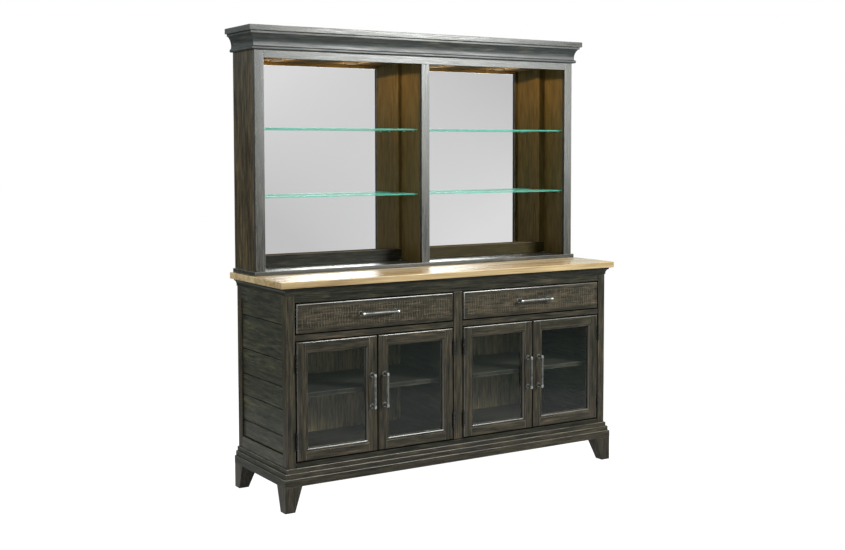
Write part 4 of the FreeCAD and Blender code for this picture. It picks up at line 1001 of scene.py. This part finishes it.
uprights = [board(x, HUTCH_FRAME, (HUTCH_FLOOR, CAP_LOW), "z", 1.5)
            for x in sided((STILE_INNER, HUTCH))]
uprights.append(board((-HUTCH_MIDDLE, HUTCH_MIDDLE), HUTCH_FRAME, (HUTCH_FLOOR, RAIL_LOW), "z",
                      1.5))
stiles = gather("hutch_uprights", uprights, "cabinet", "dark_wood", dark_wood, "hutch_stiles")
rail = gather("hutch_rail", [board((-STILE_INNER, STILE_INNER), HUTCH_FRAME, (RAIL_LOW, CAP_LOW),
                                   "x", 1.5)],
              "cabinet", "dark_wood", dark_wood, "hutch_top_rail")
for piece in (stiles, rail):
    second_finish(piece, brown_wood, lambda at, normal: normal.y > 0.5)
gather("crown_cap_board", [board((-CAP, CAP), (0, CAP_DEPTH), (CAP_LOW, TOP), "x", 2.0, 3,
                                 eased=not_behind)],
       "cabinet", "dark_wood", dark_wood, "crown_cap")

# %% [markdown]
# Mirrors. Each bay has a pane of mirror held by strips of wood: a taller one along the bottom,
# and a narrow one up each side. The mirror itself is a flat board of silvered glass.

# %% Mirrors and their frames
STRIP_DEPTH, STRIP_TOP = (8, 42), 980

strips = []
for side in (1, -1):
    strips.append(board((side * HUTCH_MIDDLE, side * HUTCH_INNER), STRIP_DEPTH,
                        (HUTCH_FLOOR, STRIP_TOP), "x", 2.0))
    for x in ((HUTCH_MIDDLE, 37), (754, HUTCH_INNER)):
        strips.append(board((side * x[0], side * x[1]), STRIP_DEPTH, (STRIP_TOP, HUTCH_CEILING),
                            "z", 1.5))
strips_piece = gather("mirror_strips", strips, "cabinet", "hutch_wood", brown_wood,
                      "mirror_frames")
gather("mirror_panes", [board(x, (HUTCH_BACK, STRIP_DEPTH[0]),
                              (HUTCH_FLOOR + 1, HUTCH_CEILING - 1), easing=0.3, rounds=1)
                        for x in sided((HUTCH_MIDDLE + 1, HUTCH_INNER - 1))],
       "cabinet", "mirror", mirror, "mirrors")
low_strip = (STRIP_TOP - 1) * MM
# The strips below the mirrors get painted shade: the shade stain on the left, a darker brown on
# the right.
second_finish(strips_piece, shady_wood, lambda at, normal: at.x < 0 and at.z < low_strip)
second_finish(strips_piece, strip_shade_wood, lambda at, normal: at.x > 0 and at.z < low_strip)
second_finish(strips_piece, matt_brown, lambda at, normal: normal.z > 0.5)

# %% Glass shelves
GLASS_LEVELS, GLASS_THICK = (1227.9, 1511.6), 6

panes = [board(x, (44, 183), (low, low + GLASS_THICK), easing=0.8)
         for x in sided((HUTCH_MIDDLE + 2, HUTCH_INNER - 2)) for low in GLASS_LEVELS]
gather("shelf_panes", panes, "cabinet", "shelf_glass", shelf_glass, "glass_shelves")

# %% [markdown]
# Shelf pins. Turned steel pegs with a collar that stops them in their hole. One is turned on a
# vertical axis and laid over, and the rest are copies.

# %% Shelf pins
PIN_RADIUS = 2.6
# Each turning is an outline of radius and height, in millimetres.
PIN_RINGS = ((0, 10.6), (1.9, 10.6), (2.4, 10.1), (2.5, 1.5), (3.6, 1.5), (3.8, 1.2), (3.8, 0.3),
             (3.6, 0), (2.5, 0), (2.5, -7), (2.2, -7.6), (0, -7.6))
# The walls that carry pins: their place, the way inwards, and the pins' depths and levels.
PIN_WALLS = ((10, 1, (70, 397), (WOODEN_SHELF,)), (786, -1, (70, 397), (WOODEN_SHELF,)),
             (HUTCH_MIDDLE, 1, (72, 155), GLASS_LEVELS),
             (HUTCH_INNER, -1, (72, 155), GLASS_LEVELS))
ORIGIN, UPWARDS = Vector((0, 0, 0)), (0, 0, 1)

peg = turned(PIN_RINGS, ORIGIN, UPWARDS, 16)
pins = []
for side in (1, -1):
    for wall, inwards, depths, levels in PIN_WALLS:
        turn = Matrix.Rotation(math.radians(90 * inwards * side), 4, "Y")
        for depth in depths:
            for level in levels:
                spot = place(wall * side, depth, level - PIN_RADIUS)
                pins.append(twin(peg, Matrix.Translation(spot) @ turn))
bpy.data.objects.remove(peg)
gather("shelf_pegs", pins, "cabinet", "steel", zinc, "shelf_pins")

# %% [markdown]
# Lights. Four round fittings under the hutch's ceiling, each a turned flange round a frosted
# lens that is nearly flat. Flange and lens are each turned once and copied.

# %% Light fittings
LIGHT_PLACES = [(side * x, 72) for side in (1, -1) for x in (221, 587)]
FLANGE_RINGS = ((0, 0), (30, 0), (30, -1.6), (29.2, -2.6), (27, -3.2), (25, -3.3), (24.2, -2.8),
                (0, -2.8))
LENS_RINGS = ((0, -3), (24, -3), (24, -3.4), (23, -4.2), (19, -4.8), (10, -5.2), (0, -5.3))

for rings, name, slot, finish, node in (
        (FLANGE_RINGS, "light_rings", "light_housing", housing, "light_housings"),
        (LENS_RINGS, "light_glasses", "light_lens", glow, "light_lenses")):
    thing = turned(rings, ORIGIN, UPWARDS, 40)
    copies = [twin(thing, Matrix.Translation(place(x, depth, HUTCH_CEILING)))
              for x, depth in LIGHT_PLACES]
    bpy.data.objects.remove(thing)
    gather(name, copies, "cabinet", slot, finish, node)

# %% [markdown]
# Their light. Below each lens a small warm spot light lights the bay, with the sharp upper limit
# that it draws on the walls, and a weaker point light makes the halo on the ceiling. Light
# linking keeps the halos to the ceiling and the rail before it, and the low softbox to the
# hutch's frame and base board.

# %% Warm light
def only_for(name, *pieces):
    """A list of pieces for a light that reaches nothing else."""
    lit = bpy.data.collections.new(name)
    for piece in pieces:
        lit.objects.link(bpy.data.objects[piece])
    return lit


WARM_WHITE = (1.0, 0.66, 0.36)
SPOT_WATTS, SPOT_LEVEL, SPOT_WIDTH, SPOT_RADIUS = 2.6, 1801, math.radians(160), 0.012
HALO_WATTS, HALO_LEVEL, HALO_RADIUS = 1.0, 1779, 0.006

softboxes["softbox_low"].light_linking.receiver_collection = only_for(
    "lit_by_low_box", "hutch_uprights", "hutch_rail", "hutch_base_board")
lit_by_halos = only_for("lit_by_halos", "hutch_ceiling_board", "hutch_rail")
for number, (x, depth) in enumerate(LIGHT_PLACES, start=1):
    spot = bpy.data.lights.new("spot_%d" % number, "SPOT")
    spot.spot_size, spot.spot_blend = SPOT_WIDTH, 0.04
    halo = bpy.data.lights.new("halo_%d" % number, "POINT")
    for lamp, watts, level, radius in ((spot, SPOT_WATTS, SPOT_LEVEL, SPOT_RADIUS),
                                       (halo, HALO_WATTS, HALO_LEVEL, HALO_RADIUS)):
        lamp.energy, lamp.color, lamp.shadow_soft_size = watts, WARM_WHITE, radius
        thing = bpy.data.objects.new(lamp.name, lamp)
        thing.visible_camera = thing.visible_glossy = False
        thing.location = place(x, depth, level)
        bpy.context.scene.collection.objects.link(thing)
        if lamp == halo:
            thing.light_linking.receiver_collection = lit_by_halos
print(len(LIGHT_PLACES), "spots and as many halos")

# %% [markdown]
# Screws. Four of them hold the hutch down on the countertop, from inside the bays. They are
# turned like the pins.

# %% Screws that hold the hutch down
SCREW_RINGS = ((0, 1.4), (1.2, 1.4), (1.6, 2.6), (3.4, 2.7), (4.6, 2.0), (5, 0.6), (5, 0),
               (2.4, 0), (2.4, -3), (0, -3))
screw = turned(SCREW_RINGS, ORIGIN, UPWARDS, 20)
screws = [twin(screw, Matrix.Translation(place(x * side, 60, HUTCH_FLOOR))) for x in (38, 770)
          for side in (1, -1)]
bpy.data.objects.remove(screw)
gather("hutch_screw_heads", screws, "cabinet", "steel", zinc, "hutch_screws")

# %% [markdown]
# Pulls. A round bar on two turned posts with round plates, cast in pewter. Bar, collars and tips
# are one turning, and each post is another that stands on the face. The level one is made
# first and the upright one is turned from it. The collars and tips get a paler pewter, partly
# wear where hands and cloths rub and partly a painted highlight.

# %% Pulls
REACH = 29.5
TIP, COLLAR = 9, 6.2
# The bar's end as radius and distance past the post, and the post as radius and height.
END_RINGS = ((0, TIP), (2.8, 8.7), (4.6, 7.6), (5.4, 6.4), (5.2, 5.8), (5.6, 5.6), (6.3, 5.2),
             (6.5, 4.4), (6.5, -4.4), (6.2, -5.4), (5.3, -6.0), (5.1, -9))
POST_RINGS = ((0, 0), (10, 0), (10.4, 0.6), (10.4, 1.5), (9.6, 2.2), (8.8, 1.8), (8.0, 2.0),
              (7.2, 3.2), (6.6, 4.6), (5.2, 8), (4.4, 14), (4.2, 20), (4.6, 25), (4.8, 29),
              (0, REACH))


def bar_pull(span):
    """A level pull round the origin, standing out along -Y."""
    half = span / 2
    ends = [(radius, half + past) for radius, past in END_RINGS]
    middle = [(5.3, half * 0.5), (5.4, 0), (5.3, -half * 0.5)]
    rings = ends + middle + [(radius, -along) for radius, along in reversed(ends)]
    parts = [turned(rings, Vector((0, -REACH * MM, 0)), (1, 0, 0), 20)]
    for side in (1, -1):
        parts.append(turned(POST_RINGS, Vector((half * side * MM, 0, 0)), (0, -1, 0), 24))
    return parts


def set_pull(body, parts, at, upright):
    """Puts a copy of a pull on a door or a drawer."""
    turn = Matrix.Rotation(math.radians(90), 4, "Y") if upright else Matrix.Identity(4)
    copies = [twin(part, Matrix.Translation(at) @ turn) for part in parts]
    piece = gather(body + "_handle", copies, body, "pewter", pewter, body + "_pull", angle=50)
    half = max(piece.dimensions) / 2 - TIP * MM
    axis = 2 if upright else 0
    second_finish(piece, rubbed_pewter, lambda spot, normal: spot.y < at.y - 0.023
                  and abs(abs(spot[axis] - at[axis]) - half) < COLLAR * MM)

# %% Pulls in place
FACE = 474
DRAWER_PULL, DOOR_PULL = 160, 128
DOOR_PULLS = {1: -424.5, 2: -365.5, 3: 365.5, 4: 424.5}

drawer_parts, door_parts = bar_pull(DRAWER_PULL), bar_pull(DOOR_PULL)
for side, sign in (("right", 1), ("left", -1)):
    set_pull("drawer_" + side, drawer_parts, place(395 * sign, FACE, 767), False)
for number, x in DOOR_PULLS.items():
    set_pull("door_%d" % number, door_parts, place(x, FACE, 447), True)
for part in drawer_parts + door_parts:
    bpy.data.objects.remove(part)

# %% [markdown]
# Doors. Stiles run full height and the rails fit between them. Round the glass a small moulding
# steps back and rounds over towards the pane, mitred at the corners, and thin beads hold the
# glass from behind. The outer arris of a door or a drawer is a wide rounding, which catches
# the light along its top.

# %% Shaping door parts
STILE, RAIL, THICK = 52, 50, 22
# The moulding round the glass: its width, how far its edge steps back, and its rounding.
SLOPE, STEP, DROP = 13, 2, 7
ARRIS = 6


def moulded(inner_axis, inner, along_axis):
    """Mitres the two ends of a strip and rounds it towards the glass."""
    def shape(thing):
        ends = [v.co[along_axis] for v in thing.data.vertices]
        front = min(v.co.y for v in thing.data.vertices)
        for end, sign in ((min(ends), 1), (max(ends), -1)):
            pick(thing, "verts", lambda v: abs(v.co[inner_axis] - inner) < TOUCH
                 and abs(v.co[along_axis] - end) < TOUCH)
            offset = [0, 0, 0]
            offset[along_axis] = SLOPE * MM * sign
            shift(offset)
        pick(thing, "edges", lambda edge: all(abs(v.co[inner_axis] - inner) < TOUCH
                                              and v.co.y < front + TOUCH for v in edge.verts))
        bpy.ops.mesh.bevel(offset=DROP * MM, segments=5, affect="EDGES")
    return shape


def crisp(edge):
    """An edge that is still sharp."""
    return edge.calc_face_angle(0) > math.radians(40)


SHINES_UP, SHINES_LEFT = 0.12, -0.12


def rounded(at, normal):
    """A face on a rounded front arris that looks up or left, towards the light."""
    return normal.y < -0.25 and (normal.z > SHINES_UP or normal.x < SHINES_LEFT)


def softened(x, z):
    """Rounds the front arris along the outline of a door or a drawer."""
    lines = [(0, value * MM) for value in x] + [(2, value * MM) for value in z]

    def shape(thing):
        front = min(v.co.y for v in thing.data.vertices)
        pick(thing, "edges", lambda edge: all(v.co.y < front + TOUCH for v in edge.verts) and any(
            all(abs(v.co[axis] - value) < TOUCH for v in edge.verts) for axis, value in lines))
        bpy.ops.mesh.bevel(offset=ARRIS * MM, segments=5, affect="EDGES")
    return shape

# %% Door frames
GLASS_DEPTH = (458, 462)
GLASS_REACH = 5.5
BEAD = 6


def door_frame(x, z):
    """The members and beads of a door."""
    depth, strip_depth = (FACE - THICK, FACE), (GLASS_DEPTH[1], FACE - STEP)
    left, right = x[0] + STILE, x[1] - STILE
    low, high = z[0] + RAIL, z[1] - RAIL
    flat = (x[0] + STILE - SLOPE, x[1] - STILE + SLOPE)
    flat_z = (low - SLOPE, high + SLOPE)
    soften = softened(x, z)
    parts = [board(*spans, easing=0.6, eased=crisp, shape=soften) for spans in (
        ((x[0], flat[0]), depth, z, "z"), ((flat[1], x[1]), depth, z, "z"),
        (flat, depth, (z[0], flat_z[0]), "x"), (flat, depth, (flat_z[1], z[1]), "x"))]
    for outer, inner in ((flat[0], left), (flat[1], right)):
        parts.append(board((outer, inner), strip_depth, flat_z, "z", 0.5, 1, eased=crisp,
                           shape=moulded(0, inner * MM, 2)))
    for outer, inner in ((flat_z[0], low), (flat_z[1], high)):
        parts.append(board(flat, strip_depth, (outer, inner), "x", 0.5, 1, eased=crisp,
                           shape=moulded(2, inner * MM, 0)))
    across = (left - BEAD, right + BEAD)
    for spans in (((left - BEAD, left), (low, high), "z"),
                  ((right, right + BEAD), (low, high), "z"),
                  (across, (low - BEAD, low), "x"), (across, (high, high + BEAD), "x")):
        parts.append(board(spans[0], (FACE - THICK, GLASS_DEPTH[0]), *spans[1:], 0.8, 1))
    return parts

# %% Doors in place
DOORS = {1: (-763, -396.5), 2: (-393.5, -27), 3: (27, 393.5), 4: (396.5, 763)}
DOOR_Z = (195, 672)

for number, (low, high) in DOORS.items():
    body = "door_%d" % number
    members = gather(body + "_members", door_frame((low, high), DOOR_Z), body, "dark_wood",
                     case_wood, body + "_frame")
    # The arrises that face up or left get a paler, glossier stain that paints a highlight. Doors 2
    # and 4 have another door close at their left, so that arris gets none and stays dark.
    second_finish(members, arris_highlight_wood, lambda at, normal: rounded(at, normal) and (
        number in (1, 3) or normal.z > SHINES_UP or at.x > (low + 10) * MM))
    # The sides of the door that face its gaps get the black: painted shade.
    outline = [(0, low), (0, high), (2, DOOR_Z[0]), (2, DOOR_Z[1])]
    second_finish(members, gap_shade_wood, lambda at, normal: max(abs(normal.x), abs(normal.z)) > 0.8
                  and min(abs(at[axis] - value * MM) for axis, value in outline) < 2 * MM)
    glass = board((low + STILE - GLASS_REACH, high - STILE + GLASS_REACH), GLASS_DEPTH,
                  (DOOR_Z[0] + RAIL - GLASS_REACH, DOOR_Z[1] - RAIL + GLASS_REACH),
                  easing=0.3, rounds=1)
    gather(body + "_pane", [glass], body, "door_glass", door_glass, body + "_glass")

# %% [markdown]
# Hinges. Butt hinges whose barrels stand in front of the doors: the middle knuckle belongs to
# the door, and the outer two, the pin and its two finials to the cabinet.

# %% Hinges
HINGE_LEVELS, HINGE_DEPTH = (279, 588), 478.3
AXES = {1: -764.5, 2: -25.5, 3: 25.5, 4: 764.5}
HINGE, KNUCKLE, CLEAR = 32, 10.4, 0.5
LEAF_NEAR, LEAF_FAR, LEAF_DEPTH = 0.3, 1.5, (452, 473.9, 477)
FINIAL = ((0, 0), (3.2, 0), (3.3, 0.6), (2.4, 1.1), (3.0, 2.0), (3.0, 2.9), (2.0, 4.0), (0, 4.4))
PIN = ((0, -11), (2, -11), (2, 11), (0, 11))


def knuckle(low, high):
    """A barrel with eased ends."""
    return ((0, low), (3.2, low), (3.8, low + 0.5), (4, low + 1), (4, high - 1),
            (3.8, high - 0.5), (3.2, high), (0, high))


def leaf(x, depth, level, half):
    """One flat leaf, level with the middle of its hinge."""
    return board(x, depth, (level - half, level + half), "z", 0.2, 1)


case_halves = []
for number, axis_x in AXES.items():
    toward_case = -1 if number in (1, 3) else 1
    case_leaf = sorted((axis_x + toward_case * LEAF_NEAR, axis_x + toward_case * LEAF_FAR))
    door_leaf = sorted((axis_x - toward_case * LEAF_FAR, axis_x - toward_case * LEAF_NEAR))
    back, step, front = LEAF_DEPTH
    door_halves = []
    for level in HINGE_LEVELS:
        axis = place(axis_x, HINGE_DEPTH, level)
        case_halves += [turned(knuckle(-HINGE, -KNUCKLE - CLEAR), axis, UPWARDS, 20),
                        turned(knuckle(KNUCKLE + CLEAR, HINGE), axis, UPWARDS, 20),
                        turned([(r, h + HINGE) for r, h in FINIAL], axis, UPWARDS, 16),
                        turned([(r, -h - HINGE) for r, h in FINIAL], axis, UPWARDS, 16),
                        turned(PIN, axis, UPWARDS, 12),
                        leaf(case_leaf, (back, front), level, HINGE)]
        door_halves += [turned(knuckle(-KNUCKLE, KNUCKLE), axis, UPWARDS, 20),
                        leaf(door_leaf, (back, step), level, HINGE),
                        leaf(door_leaf, (step, front), level, KNUCKLE)]
    body = "door_%d" % number
    gather(body + "_hinge_halves", door_halves, body, "hinge_metal", bronze, body + "_hinges")
gather("case_hinge_halves", case_halves, "cabinet", "hinge_metal", bronze, "frame_hinges")

# %% [markdown]
# Drawers. A sawn front with a plain border, a pale box of five boards behind it, and a steel
# slide on each side, which keeps its solid.

# %% Drawers
BOX_DEPTH, BOX_Z, BOX_WALL = (52, 452), (706, 806), 12

for side, sign in (("right", 1), ("left", -1)):
    body = "drawer_" + side
    span, rise = sorted((27 * sign, 763 * sign)), (703, 823)
    face = board(span, (FACE - THICK, FACE), rise, "x", 0.6, eased=crisp,
                 shape=softened(span, rise))
    panel = gather(body + "_panel", [face], body, "dark_wood", sawn_wood, body + "_front")
    # Arrises that face up or left get the stain that paints a highlight.
    second_finish(panel, arris_highlight_wood, rounded)
    # The sides of the drawer front get the black: painted shade in the gaps.
    second_finish(panel, gap_shade_wood, lambda at, normal: max(abs(normal.x), abs(normal.z)) > 0.8)
    inner, outer, wall = 36.7 * sign, 753.3 * sign, BOX_WALL * sign
    back, front = BOX_DEPTH
    within = (inner + wall, outer - wall)
    box = [board((inner, inner + wall), BOX_DEPTH, BOX_Z, "y", 1.0),
           board((outer - wall, outer), BOX_DEPTH, BOX_Z, "y", 1.0),
           board(within, (front - BOX_WALL, front), BOX_Z, "x", 1.0),
           board(within, (back, back + BOX_WALL), BOX_Z, "x", 1.0),
           board(within, (back + BOX_WALL, front - BOX_WALL), (712, 718), "x", 0.3, 1)]
    gather(body + "_boards", box, body, "box_wood", pale_wood, body + "_box")
    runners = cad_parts[body + "_runners"]
    runners.data.materials.clear()
    runners.data.materials.append(zinc.material)
    print(runners.name, "keeps its solid")
